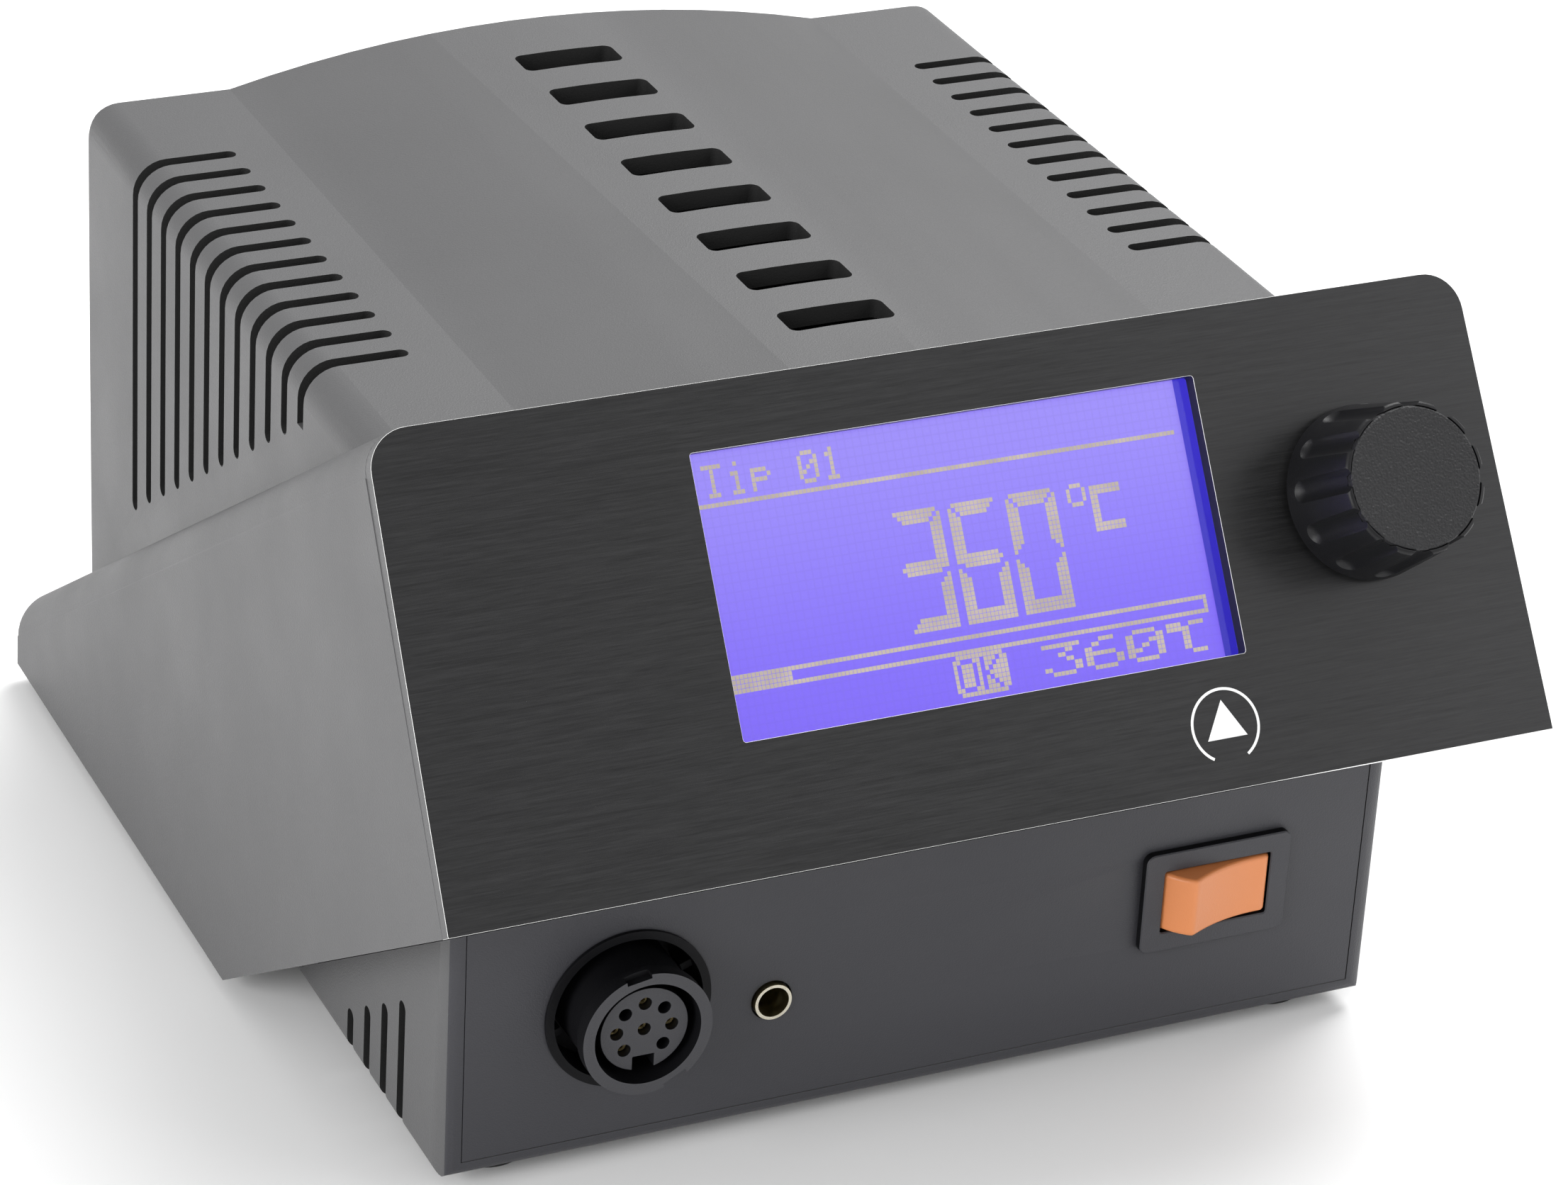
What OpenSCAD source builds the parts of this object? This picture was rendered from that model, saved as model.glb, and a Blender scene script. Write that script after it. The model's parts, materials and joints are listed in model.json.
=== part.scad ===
// Soldering iron station: a desk housing with a leaning control panel.
// Millimetres. X is across the front, Y runs to the back, Z is up.
// The origin is on the resting surface, under the middle of the housing.

/* [Housing] */
// Width of the control panel at its lower edge
panel_w = 145; // [135:1:175]
// Length of the control panel, measured up its slope
panel_len = 57.8; // [56:0.2:70]
// How far the control panel leans back from the vertical, in degrees
panel_lean = 33.54; // [30:0.1:36]
// Height of the panel's lower edge above the resting surface
panel_z = 51.9; // [50:0.1:62]
// Depth from the panel's lower edge to the back of the hood
depth = 163.5; // [160:0.5:200]
// Width of the body between the side wings, at its foot
body_w = 128.6; // [124:0.2:134]
// Height of the flat shoulder bands above the resting surface
shoulder_z = 87.5; // [82:0.5:92]
// Half the width of the arched crown between the shoulder bands
crown_half = 43.3; // [35:0.1:48]
// Rise of the crown above the shoulder bands
crown_rise = 5.15; // [2:0.05:9]
// Set-back of the lower front face behind the panel's lower edge
front_setback = 22.3; // [18:0.1:26]
// Set-back of the body's rear wall from the back of the hood
rear_setback = 3.5; // [2:0.1:8]
// Wall thickness of the moulded shells
wall = 2.5; // [2:0.1:3]
// Radius of the shoulder edges
shoulder_r = 4.5; // [3:0.1:6]
// Radius of the body's upright corners
corner_r = 2.8; // [2:0.1:5]
// Radius of the control panel's two upper corners
panel_corner_r = 5; // [3:0.1:7]

/* [Vents] */
// Width of a shoulder vent slot
slot_w = 2.1; // [1.6:0.1:2.8]
// Spacing of the shoulder vent slots
slot_pitch = 5.83; // [5:0.01:6.2]
// Number of shoulder vent slots on each side
slot_count = 12; // [6:1:12]
// Length of a crown vent across the housing
crown_vent_w = 14.2; // [10:0.1:20]
// Width of a crown vent along the housing
crown_vent_d = 5.6; // [4:0.1:7]
// Spacing of the crown vents
crown_vent_pitch = 12.38; // [10:0.01:12.6]
// Number of crown vents
crown_vent_count = 8; // [4:1:8]

/* [Front controls] */
// Thickness of the aluminium control panel
panel_t = 2; // [1.5:0.1:3]
// Width of the display opening
display_w = 66; // [60:0.5:72]
// Height of the display opening
display_h = 34; // [30:0.5:38]
// Distance of the knob's axis from the middle of the panel
knob_u = 52.6; // [50:0.1:55]
// Radius of the knob's skirt
knob_r = 10.8; // [10:0.1:13]
// Height of the knob's face above the panel
knob_h = 14; // [12:0.1:18]
// Radius of the encoder shaft
shaft_r = 3; // [2.5:0.1:3.2]
// Inward travel of the knob when it is pressed
push_travel = 0.5; // [0.3:0.1:0.6]

/* [Lower front] */
// Distance of the tool socket left of the middle
socket_x = 40.2; // [34:0.1:44]
// Radius of the tool socket's front ring
socket_r = 8.4; // [7:0.1:9]
// How far the tool socket stands out of the front face
socket_out = 6.4; // [4:0.1:9]
// Distance of the earth jack left of the middle
jack_x = 21; // [16:0.1:24]
// Radius of the earth jack's bore, for a 4 mm plug
jack_bore_r = 2.05; // [2:0.01:2.1]
// Distance of the mains switch right of the middle
switch_x = 39.8; // [30:0.1:46]
// Width of the mains switch's bezel
switch_w = 20.6; // [20:0.1:22]
// Height of the mains switch's bezel
switch_h = 14.3; // [14:0.1:16]
// Swing of the rocker between its two positions, in degrees
rocker_swing = 26; // [18:1:28]

/* [Back and inside] */
// Distance of the mains inlet right of the middle
inlet_x = 32; // [26:0.5:34]
// Height of the mains inlet's centre
inlet_z = 38; // [36:0.5:44]
// Width of the transformer core
core_w = 56; // [48:0.5:58]
// Height of the transformer core
core_h = 52; // [44:0.5:54]
// Stack thickness of the transformer core
core_d = 32; // [24:0.5:34]
// Height of the rubber feet
foot_h = 2.5; // [2:0.1:5]
// Radius of the rubber feet
foot_r = 5; // [4:0.1:7]

/* [Hidden] */

$fn = 64;
eps = 0.01;
big = 400;

// Fits between pieces
seam = 0.15;      // gap between two shells that meet
slip = 0.1;       // gap round a piece that drops into a pocket
run_gap = 0.05;   // radial gap of a running shaft
move_gap = 0.35;  // gap kept by pieces that move past each other

// Housing values that follow from the sizes above
body_z = foot_h;                       // underside of the housing
side_draft = 0.55;                     // body side draft, degrees
hood_draft = 1.283;                    // hood side draft, degrees
body_front = front_setback;
body_rear = depth - rear_setback;
sin_lean = sin(panel_lean);
cos_lean = cos(panel_lean);
crown_r = (crown_half * crown_half + crown_rise * crown_rise) / (2 * crown_rise);
crown_cz = shoulder_z + crown_rise - crown_r;
edge_r = 2;                            // radius along the housing's foot
floor_t = wall;                        // thickness of the tray's floor
floor_top = body_z + floor_t;
cavity_half = body_w / 2 - wall - 0.8; // clear half width inside the body

// Shoulder vents: first slot, reach over the shoulder, height above the hood
slot_y0 = 74.9;
slot_reach = 49.65;
slot_lift = 8.1;
low_slot_y0 = 35.4;
low_slot_drop = 7.8;
low_slot_count = 4;
crown_vent_y0 = 58.45;
crown_vent_r = 1.2;

// Panel positions, measured up the slope from the lower edge
display_v = 32.8;
knob_v = 32.4;
window_t = 1.5;
window_lap = 2.6;
glass_t = 2.8;
glass_lap = 5;
glass_lap_v = 2.6;
frame_lap = 7;
frame_lap_v = 4;
frame_t = 3.2;
pcb_t = 1.6;
lcd_pcb_lap_u = 9;
glass_w0 = -panel_t - window_t - slip - glass_t;
lcd_pcb_w0 = glass_w0 - 0.4 - pcb_t;
control_u0 = -56;
control_v = [7, 51];
spacer_u = [-49, 44.5];
chips = [                              // place across, place up, width, height, thickness
    [-3, 27, 14, 14, 2.2], [20, 28, 8, 8, 1.8], [-31, 38.5, 6, 5, 1.6],
    [-31, 18.5, 6, 5, 1.6], [32, 14, 4, 4, 3.5],
];

// Encoder and knob, along the panel's normal
encoder_depth = 7;
encoder_side = 12.6;
control_gap = 1.3;     // clear space between the encoder and the board under it
control_w0 = -panel_t - encoder_depth - control_gap - pcb_t;
bushing_r = 3.5;
bushing_out = 4;
nut_t = 1.8;
nut_r = 5.6;
shaft_in = 4;
shaft_out = 11.2;
plunger_r = 2.2;
plunger_t = 1.6;
knob_gap = push_travel + 0.4;
knob_nose_r = knob_r - 1.4;
knob_taper = atan((knob_r - knob_nose_r) / (knob_h - knob_gap));
nose_round = 0.5;
cap_r = knob_nose_r - nose_round - 0.2;
cap_t = 0.9;
flute_count = 12;
flute_r = 2;
flute_depth = 0.6;
flute_turn = 23.5;     // place of the first flute round the knob, in degrees
flute_z0 = 3.6;        // height of a flute's round lower end above the knob's foot
flute_lean = knob_taper + 1;   // lean of a flute, a degree more than the knob's side, so it deepens upward

// Lower front heights
socket_z = 22.5;
jack_z = 19.4;
switch_z = 22.9;
fascia_t = 1.5;
fascia_half = body_w / 2 - corner_r - 0.3;
fascia_z0 = body_z + edge_r + 0.4;
front_t = wall + fascia_t;             // whole thickness of the lower front

// Tool socket radii and stations (outwards is positive)
collar_flange_r = socket_r + 2.4;
collar_r = collar_flange_r - 0.6;
collar_in_r = collar_r - 0.5;
collar_deep = 7;
rib_t = 1;
rib_top = -2;
tube_r = socket_r - 0.6;
bore_r = socket_r - 1.5;
insert_r = bore_r - 1.2;
insert_back = -14;
contact_hole_r = 0.82;
contact_ring = insert_r - contact_hole_r - 1.3;
contact_r = 0.7;
hole_angles = [-45, 0, 45, 90, 135, 180, 225];
fitted_angles = [0, 90, 180, 225];     // the holes of the ring that hold a contact
key_half = 1.4;
key_deep = 2;
notch_half = 1.6;
notch_deep = 1.2;
insert_sink = 1.2;
socket_nut_t = 2.5;
jack_nut_t = 2.1;
jack_wall = 0.35;
jack_ring_gap = 0.65;   // the dark ring round the jack, from its bore

// Mains switch
bezel_t = 1.1;
bezel_r = 1.2;
rocker_r = 8.44;        // radius of the rocker's two end faces, about its pivot
rocker_foot = 14;       // how far an end face reaches below the pivot, in degrees
rocker_ridge = 46;      // how far it reaches above the pivot, up to the ridge
dish_r = 22;
rocker_hh = 4.1;
rocker_open_hh = rocker_hh + 0.35;
rocker_well = 8;        // depth of the room round the rocker
pivot_w = -3.4;
pivot_r = 1;
switch_back = -20;
switch_body_hw = switch_w / 2 - 0.8;
switch_body_hh = switch_h / 2 - 0.9;

// Mains inlet with its fuse drawer, seen from the back
inlet_flange = [30, 40];
inlet_body = [27, 36];
inlet_flange_t = 2;
inlet_deep = 22;
inlet_cup = [24.2, 16];
inlet_cup_v = -7.5;
inlet_cup_deep = 16;
drawer_size = [21, 7.6];
drawer_v = 10.8;
drawer_deep = 18;
drawer_face = [24, 10];
drawer_face_t = 1;
fuse_r = 2.5;
fuse_len = 14;
fuse_spread = 4.8;

// Transformer and power board
core_x = -26;
core_y = 112;
leg_w = core_w / 4;
limb_w = core_w / 8;
window_h = core_h - 2 * limb_w;
winding_bulge = 12;
strap_t = 1.2;
strap_d = 20;
strap_foot = 5.4;
board_x = [13, 58];
board_y = [52, 130];
board_z = 12;
post_r = 2.6;
screw_r = 1.25;
screw_head_r = 2.5;
boss_x = 55;
boss_y = [48, body_rear - 9.4];
boss_r = 4;
foot_stem_r = 2;
foot_x = body_w / 2 - 9.8;
foot_y = [body_front + 9.2, body_rear - 22];
lead_r = 0.9;
cable_r = 1.4;
clamp_x = 20;
clamp_y0 = 64.5;
clamp_pitch = 5;
clamp_count = 6;
clamp_z = board_z + pcb_t + 6;
clamp_half = 4;
clamp_h = 10;
part_z = board_z + pcb_t + 0.1;        // underside of the pieces on the power board
sink_x = board_x[1] - 12;
sink_y = [64, 104];
sink_h = 26;
sink_t = 2.5;
fin_count = 8;
fin_pitch = 5.5;
fin_reach = 11;
fin_t = 1.5;
triac_y = 84;
triac_lift = 8;
triac_size = [4.5, 10, 15];
triac_leg_pitch = 2.5;
can_x = 30;
can_y = 114;
can_r = 6.3;
can_h = 19;
header_h = 5.9;
power_header_x = [28, 44];
power_header_y = [56, 61];
header_u = [-10, 6];
header_v = [40, 45];
ribbon_y = 58;
ribbon_t = 1;
ribbon_top = 66;
ribbon_band = 6;

// ---------------------------------------------------------------- helpers

// Moves a piece from the front-edge station to the frame under the middle
module place() {
    translate([0, -depth / 2, 0]) children();
}

// Local X across, Y up the slope, Z out of the panel
module on_panel() {
    translate([0, 0, panel_z]) rotate([90 - panel_lean, 0, 0]) children();
}

// Local X across, Y up, Z out of the lower front face
module on_front(x, z) {
    translate([x, body_front, z]) rotate([90, 0, 0]) children();
}

// Local X across as seen from behind, Y up, Z out of the rear wall
module on_rear(x, z) {
    translate([x, body_rear, z]) rotate([90, 0, 180]) children();
}

// Extrudes an outline drawn in X and Z along Y
module along_y(y0, y1) {
    translate([0, y1, 0]) rotate([90, 0, 0]) linear_extrude(height = y1 - y0) children();
}

// Extrudes an outline drawn in Y and Z along X
module along_x(x0, x1) {
    translate([x0, 0, 0]) rotate([90, 0, 90]) linear_extrude(height = x1 - x0) children();
}

// A box from its two opposite corners
module block(lo, hi) {
    translate(lo) cube(hi - lo);
}

// A rectangle with round corners, centred
module round_rect(w, h, r) {
    square([w - 2 * r, h], center = true);
    square([w, h - 2 * r], center = true);
    for (sx = [-1, 1], sy = [-1, 1]) {
        translate([sx * (w / 2 - r), sy * (h / 2 - r)]) circle(r = r);
    }
}

// A centred plate on the local XY plane, from z0 to z1
module plate(w, h, z0, z1) {
    translate([-w / 2, -h / 2, z0]) cube([w, h, z1 - z0]);
}

// A disc or tube on the local Z axis
module disc(r, z0, z1) {
    translate([0, 0, z0]) cylinder(r = r, h = z1 - z0);
}

// A straight round rod between two points
module rod(a, b, r) {
    d = b - a;
    flat = norm([d[0], d[1]]);
    translate(a) rotate([0, atan2(flat, d[2]), atan2(d[1], d[0])]) cylinder(r = r, h = norm(d), $fn = 20);
}

// An insulated lead through a list of points, with ball corners
module lead(points, r) {
    for (i = [0 : len(points) - 2]) rod(points[i], points[i + 1], r);
    for (i = [1 : len(points) - 2]) translate(points[i]) sphere(r = r + 0.08, $fn = 20);
}

// A point of the side view, from its place up the slope and out of the panel
function slope_point(v, w) = [v * sin_lean - w * cos_lean, panel_z + v * cos_lean + w * sin_lean];

// Height of the hood's upper and lower faces at a depth
function hood_top(y) = let (edge = slope_point(panel_len, 0)) edge[1] - (y - edge[0]) * sin_lean / cos_lean;
function hood_foot(y) = panel_z - y * sin_lean / cos_lean;

// Points of an arc, from one angle to another
function arc(c, r, a0, a1, n = 8) =
    [for (i = [0 : n]) c + r * [cos(a0 + (a1 - a0) * i / n), sin(a0 + (a1 - a0) * i / n)]];

// ---------------------------------------------------------------- housing volumes

// Front view of the body, drawn in by an inset
module body_outline(inset, foot_z, foot_radius) {
    half = body_w / 2 - inset;
    lean_in = (shoulder_z - body_z) * tan(side_draft);
    r = shoulder_r - inset;
    top = shoulder_z - inset;
    cx = half - lean_in - r;
    fr = foot_radius;
    polygon(concat(
        arc([cx, top - r], r, 0, 90),
        arc([-cx, top - r], r, 90, 180),
        arc([-half + fr, foot_z + fr], fr, 180, 270),
        arc([half - fr, foot_z + fr], fr, 270, 360)));
    intersection() {
        translate([0, crown_cz]) circle(r = crown_r - inset, $fn = 360);
        translate([-crown_half, top - 1]) square([2 * crown_half, crown_rise + 2]);
    }
}

// The whole body, without the hood
module body_volume() {
    intersection() {
        along_y(body_front, body_rear) body_outline(0, body_z, edge_r);
        translate([0, (body_front + body_rear) / 2, 0])
            linear_extrude(height = big) round_rect(body_w, body_rear - body_front, corner_r);
        along_x(-big / 2, big / 2) foot_edge_outline();
    }
}

// Side view of the body with its rounded front foot edge
module foot_edge_outline() {
    polygon(concat(
        arc([body_front + edge_r, body_z + edge_r], edge_r, 180, 270),
        arc([body_rear - edge_r, body_z + edge_r], edge_r, 270, 360),
        [[body_rear, big], [body_front, big]]));
}

// The clear space inside the body
module body_cavity() {
    along_y(body_front + wall, body_rear - wall) body_outline(wall, -big / 2, eps);
}

// Side view of the hood, which stands square to the control panel
module hood_side(inset, front_w) {
    lo = slope_point(inset, front_w);
    hi = slope_point(panel_len - inset, front_w);
    edge = slope_point(panel_len, 0);
    foot = body_z + inset;
    grow = inset / cos_lean;
    runout = edge[0] + (edge[1] - grow - foot) * cos_lean / sin_lean - 1;
    back = min(depth - inset, runout);
    polygon([
        lo, hi,
        [back, hood_top(back) - grow],
        [back, foot],
        [(panel_z + grow - foot) * cos_lean / sin_lean, foot]]);
}

// Front view of the hood, whose sides widen a little towards the foot
module hood_front(inset) {
    low = panel_w / 2 + panel_z * tan(hood_draft) - inset;
    high = panel_w / 2 - (big / 4 - panel_z) * tan(hood_draft) - inset;
    polygon([[-low, 0], [low, 0], [high, big / 4], [-high, big / 4]]);
}

// Rounds the hood's two long upper edges, drawn in by an inset
module hood_edge_cut(inset) {
    half = panel_w / 2 - panel_len * cos_lean * tan(hood_draft) - inset;
    yaw = atan(tan(hood_draft) * sin_lean);
    r = max(panel_corner_r - inset, 1);
    for (s = [-1, 1]) {
        on_panel() translate([s * half, panel_len - inset, 0]) rotate([0, -s * yaw, 0])
            mirror([s < 0 ? 1 : 0, 0, 0])
            translate([0, 0, -big / 2]) linear_extrude(height = big) difference() {
                translate([-r, -r]) square(r + 2);
                translate([-r, -r]) circle(r = r);
            }
    }
}

// The hood behind the control panel, down to the wings
module hood_volume() {
    difference() {
        intersection() {
            along_x(-panel_w, panel_w) hood_side(0, -panel_t);
            along_y(-1, depth + 1) hood_front(0);
        }
        hood_edge_cut(0);
    }
}

// The clear space inside the hood and its wings
module hood_cavity() {
    difference() {
        intersection() {
            along_x(-panel_w, panel_w) hood_side(wall, 1);
            along_y(-big / 4, depth + 1) hood_front(wall);
        }
        hood_edge_cut(wall);
    }
}

// Half space above the hood's lower face (the parting line), with a gap
module above_parting(gap) {
    along_x(-panel_w, panel_w) polygon([
        slope_point(gap, 80), slope_point(big, 80), slope_point(big, -big), slope_point(gap, -big)]);
}

// Half space behind the control panel
module behind_panel() {
    along_x(-panel_w, panel_w) polygon([
        slope_point(-big, -panel_t), slope_point(big, -panel_t),
        slope_point(big, -big), slope_point(-big, -big)]);
}

module shoulder_slots() {
    for (s = [-1, 1]) {
        translate([0, 0, shoulder_z - 8]) linear_extrude(height = 20) for (i = [0 : slot_count - 1]) {
            y = slot_y0 + i * slot_pitch;
            x0 = slot_reach + slot_w / 2;
            translate([s > 0 ? x0 : -panel_w / 2, y - slot_w / 2]) square([panel_w / 2 - x0, slot_w]);
            translate([s * x0, y]) circle(r = slot_w / 2, $fn = 24);
        }
        along_x(s > 0 ? cavity_half - 4 : -panel_w / 2 - 4, s > 0 ? panel_w / 2 + 4 : -cavity_half + 4)
            for (i = [0 : slot_count - 1]) {
                y = slot_y0 + i * slot_pitch;
                z0 = hood_top(y) + slot_lift + slot_w / 2;
                translate([y - slot_w / 2, z0]) square([slot_w, shoulder_z + 12 - z0]);
                translate([y, z0]) circle(r = slot_w / 2, $fn = 24);
            }
    }
}

module crown_vents() {
    translate([0, 0, shoulder_z - 8]) linear_extrude(height = 40) for (i = [0 : crown_vent_count - 1]) {
        translate([0, crown_vent_y0 + i * crown_vent_pitch])
            round_rect(crown_vent_w, crown_vent_d, crown_vent_r);
    }
}

module screw_sites() {
    for (s = [-1, 1], y = boss_y) translate([s * boss_x, y, 0]) children();
}

module foot_sites() {
    for (s = [-1, 1], y = foot_y) translate([s * foot_x, y, 0]) children();
}

// ---------------------------------------------------------------- shells

module upper_housing() {
    color([0.36, 0.36, 0.37]) place() difference() {
        union() {
            difference() {
                intersection() {
                    union() {
                        intersection() {
                            body_volume();
                            above_parting(0);
                        }
                        hood_volume();
                    }
                    behind_panel();
                }
                body_cavity();
                hood_cavity();
            }
            screw_sites() disc(boss_r, floor_top + seam, shoulder_z - wall + 1);
        }
        shoulder_slots();
        crown_vents();
        on_rear(inlet_x, inlet_z) plate(inlet_body[0] + 2 * slip, inlet_body[1] + 2 * slip, -wall - 1, 1);
        screw_sites() disc(screw_r, 0, floor_top + 14);
    }
}

module base_tray() {
    color([0.34, 0.34, 0.35]) place() difference() {
        union() {
            difference() {
                intersection() {
                    body_volume();
                    difference() {
                        translate([-panel_w, -10, 0]) cube([2 * panel_w, big, panel_z]);
                        above_parting(-seam);
                    }
                }
                block([-body_w / 2 + wall, body_front + wall + fascia_t, floor_top],
                      [body_w / 2 - wall, body_rear, big]);
            }
            block([-body_w / 2 + wall + 1, body_front + 6, body_z],
                  [body_w / 2 - wall - 1, body_rear - wall - seam, floor_top]);
            board_posts();
        }
        fascia_pocket();
        front_openings();
        low_slots();
        screw_sites() {
            disc(screw_r + 0.3, 0, floor_top + 1);
            disc(screw_head_r + 0.2, 0, body_z + 1.4);
        }
        foot_sites() disc(foot_stem_r, 0, floor_top + 1);
        strap_bolt_sites() disc(1.6, 0, floor_top + 1);
        board_post_sites() disc(screw_r - 0.25, body_z + 1, board_z + 1);
    }
}

module low_slots() {
    for (s = [-1, 1]) {
        along_x(s > 0 ? body_w / 2 - 5 : -body_w / 2 - 1, s > 0 ? body_w / 2 + 1 : -body_w / 2 + 5)
            for (i = [0 : low_slot_count - 1]) {
                y = low_slot_y0 + i * slot_pitch;
                z1 = hood_foot(y) - low_slot_drop - slot_w / 2;
                translate([y - slot_w / 2, 0]) square([slot_w, z1]);
                translate([y, z1]) circle(r = slot_w / 2, $fn = 24);
            }
    }
}

// The rebate in the tray's front wall that holds the fascia
module fascia_pocket() {
    block([-fascia_half - slip, -1, fascia_z0 - slip],
          [fascia_half + slip, body_front + fascia_t, panel_z]);
}

// Everything that passes through the lower front
module front_openings() {
    on_front(-socket_x, socket_z) disc(collar_r + slip, -12, 5);
    on_front(-jack_x, jack_z) disc(jack_bore_r + 0.4, -12, 5);
    on_front(switch_x, switch_z) {
        plate(switch_body_hw * 2 + 2 * slip, switch_body_hh * 2 + 2 * slip, -12, 8);
    }
}

module front_fascia() {
    color([0.24, 0.24, 0.26]) place() difference() {
        block([-fascia_half, body_front, fascia_z0], [fascia_half, body_front + fascia_t, panel_z]);
        above_parting(-seam);
        front_openings();
        on_front(-jack_x, jack_z) disc(jack_bore_r + jack_ring_gap, -fascia_t - 1, 1);
    }
}

// ---------------------------------------------------------------- control panel

// Outline of the control panel: a near rectangle with round upper corners
module panel_outline() {
    low = panel_w / 2;
    high = panel_w / 2 - panel_len * cos_lean * tan(hood_draft);
    r = panel_corner_r;
    polygon(concat(
        arc([high - r, panel_len - r], r, 0, 90, 10),
        arc([-high + r, panel_len - r], r, 90, 180, 10),
        [[-low, 0], [low, 0]]));
}

module front_panel() {
    color([0.1, 0.1, 0.1]) place() on_panel() difference() {
        translate([0, 0, -panel_t]) linear_extrude(height = panel_t) panel_outline();
        translate([0, display_v, -panel_t - 1]) linear_extrude(height = panel_t + 2)
            round_rect(display_w, display_h, 0.4);
        translate([knob_u, knob_v, 0]) disc(bushing_r + 0.15, -panel_t - 1, 1);
    }
}

module display_window() {
    color([0.8, 0.85, 0.9, 0.3]) place() on_panel() translate([0, display_v, 0])
        plate(display_w + 2 * window_lap, display_h + 2 * window_lap, -panel_t - window_t, -panel_t);
}

module lcd_glass() {
    color([0.35, 0.3, 0.9]) place() on_panel() translate([0, display_v, 0])
        plate(display_w + 2 * glass_lap, display_h + 2 * glass_lap_v, glass_w0, glass_w0 + glass_t);
}

module lcd_frame() {
    color([0.15, 0.15, 0.16]) place() on_panel() translate([0, display_v, 0]) difference() {
        plate(display_w + 2 * frame_lap, display_h + 2 * frame_lap_v,
              glass_w0 - 0.4, glass_w0 - 0.4 + frame_t);
        plate(display_w + 2 * glass_lap + 2 * slip, display_h + 2 * glass_lap_v + 2 * slip,
              glass_w0 - 2, glass_w0 + 9);
    }
}

module lcd_board() {
    color([0.05, 0.3, 0.15]) place() on_panel() translate([0, display_v, 0])
        plate(display_w + 2 * lcd_pcb_lap_u, display_h + 2 * frame_lap_v, lcd_pcb_w0, lcd_pcb_w0 + pcb_t);
}

module control_board() {
    color([0.05, 0.3, 0.15]) place() on_panel() translate([0, 0, control_w0]) difference() {
        block([control_u0, control_v[0], 0], [knob_u + 9, control_v[1], pcb_t]);
        spacer_sites() disc(screw_r, -1, 3);
    }
}

module control_chips() {
    color([0.08, 0.08, 0.08]) place() on_panel() translate([0, 0, control_w0]) {
        for (chip = chips) translate([chip[0], chip[1], 0])
            plate(chip[2], chip[3], -chip[4], -slip);
    }
}

module spacer_sites() {
    for (u = spacer_u, v = [control_v[0] + 4, control_v[1] - 4]) translate([u, v, 0]) children();
}

// Four spacer posts from the panel's back to the control board
module board_spacers() {
    color([0.75, 0.75, 0.76]) place() on_panel() spacer_sites() {
        disc(2.2, control_w0 + pcb_t, -panel_t);
        disc(screw_r - 0.05, control_w0 - 0.2, control_w0 + pcb_t + 1);
        disc(2.2, control_w0 - 1.6, control_w0);
    }
}

// ---------------------------------------------------------------- encoder and knob

module on_knob() {
    on_panel() translate([knob_u, knob_v, 0]) children();
}

module encoder_body() {
    color([0.55, 0.56, 0.58]) place() on_knob() difference() {
        plate(encoder_side, encoder_side, -panel_t - encoder_depth, -panel_t);
        disc(bushing_r, -panel_t - 2.5, 1);
        disc(shaft_r + move_gap, -panel_t - shaft_in - 0.5, 1);
        disc(plunger_r + move_gap, -panel_t - encoder_depth + 0.6, 0);
    }
}

module encoder_bushing() {
    color([0.78, 0.74, 0.6]) place() on_knob() difference() {
        disc(bushing_r, -panel_t - 2.5, bushing_out);
        disc(shaft_r + run_gap, -panel_t - 3, bushing_out + 1);
    }
}

module encoder_nut() {
    color([0.75, 0.75, 0.76]) place() on_knob() difference() {
        union() {
            translate([0, 0, 0.5]) cylinder(r = nut_r, h = nut_t, $fn = 6);
            disc(nut_r + 0.4, 0, 0.5);
        }
        disc(bushing_r, -1, 5);
    }
}

module encoder_plunger() {
    top = -panel_t - shaft_in - slip;
    color([0.9, 0.9, 0.9]) place() on_knob() disc(plunger_r, top - plunger_t, top);
}

module encoder_shaft() {
    color([0.75, 0.75, 0.76]) place() on_knob() difference() {
        disc(shaft_r, -panel_t - shaft_in, shaft_out);
        block([shaft_r - 1.5, -5, bushing_out + 1], [shaft_r + 3, 5, shaft_out + 1]);
    }
}

module control_knob() {
    nose = knob_h - cap_t - 0.3;
    color([0.07, 0.07, 0.07]) place() on_knob() difference() {
        rotate_extrude($fn = 96) polygon(concat(
            [[0, knob_gap], [knob_r - 0.3, knob_gap], [knob_r, knob_gap + 0.3]],
            arc([knob_nose_r - nose_round, knob_h - 0.1 - nose_round], nose_round, 5, 90, 5),
            [[cap_r + slip, knob_h - 0.1], [cap_r + slip, nose], [0, nose]]));
        for (i = [0 : flute_count - 1]) rotate([0, 0, i * 360 / flute_count + flute_turn])
            translate([knob_r + flute_r - flute_depth, 0, knob_gap]) rotate([0, -flute_lean, 0]) {
                disc(flute_r, flute_z0, 2 * knob_h);
                translate([0, 0, flute_z0]) sphere(r = flute_r);
            }
        disc(nut_r + 1.2, -1, bushing_out + 1.2);
        difference() {
            disc(shaft_r, -1, shaft_out);
            block([shaft_r - 1.5, -5, bushing_out + 1], [shaft_r + 3, 5, shaft_out + 1]);
        }
    }
}

module knob_cap() {
    color([0.09, 0.09, 0.09]) place() on_knob() rotate_extrude($fn = 96) polygon([
        [0, knob_h - cap_t - 0.3], [cap_r, knob_h - cap_t - 0.3], [cap_r, knob_h - 0.2],
        [cap_r - 0.2, knob_h], [0, knob_h]]);
}

// ---------------------------------------------------------------- tool socket and earth jack

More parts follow.
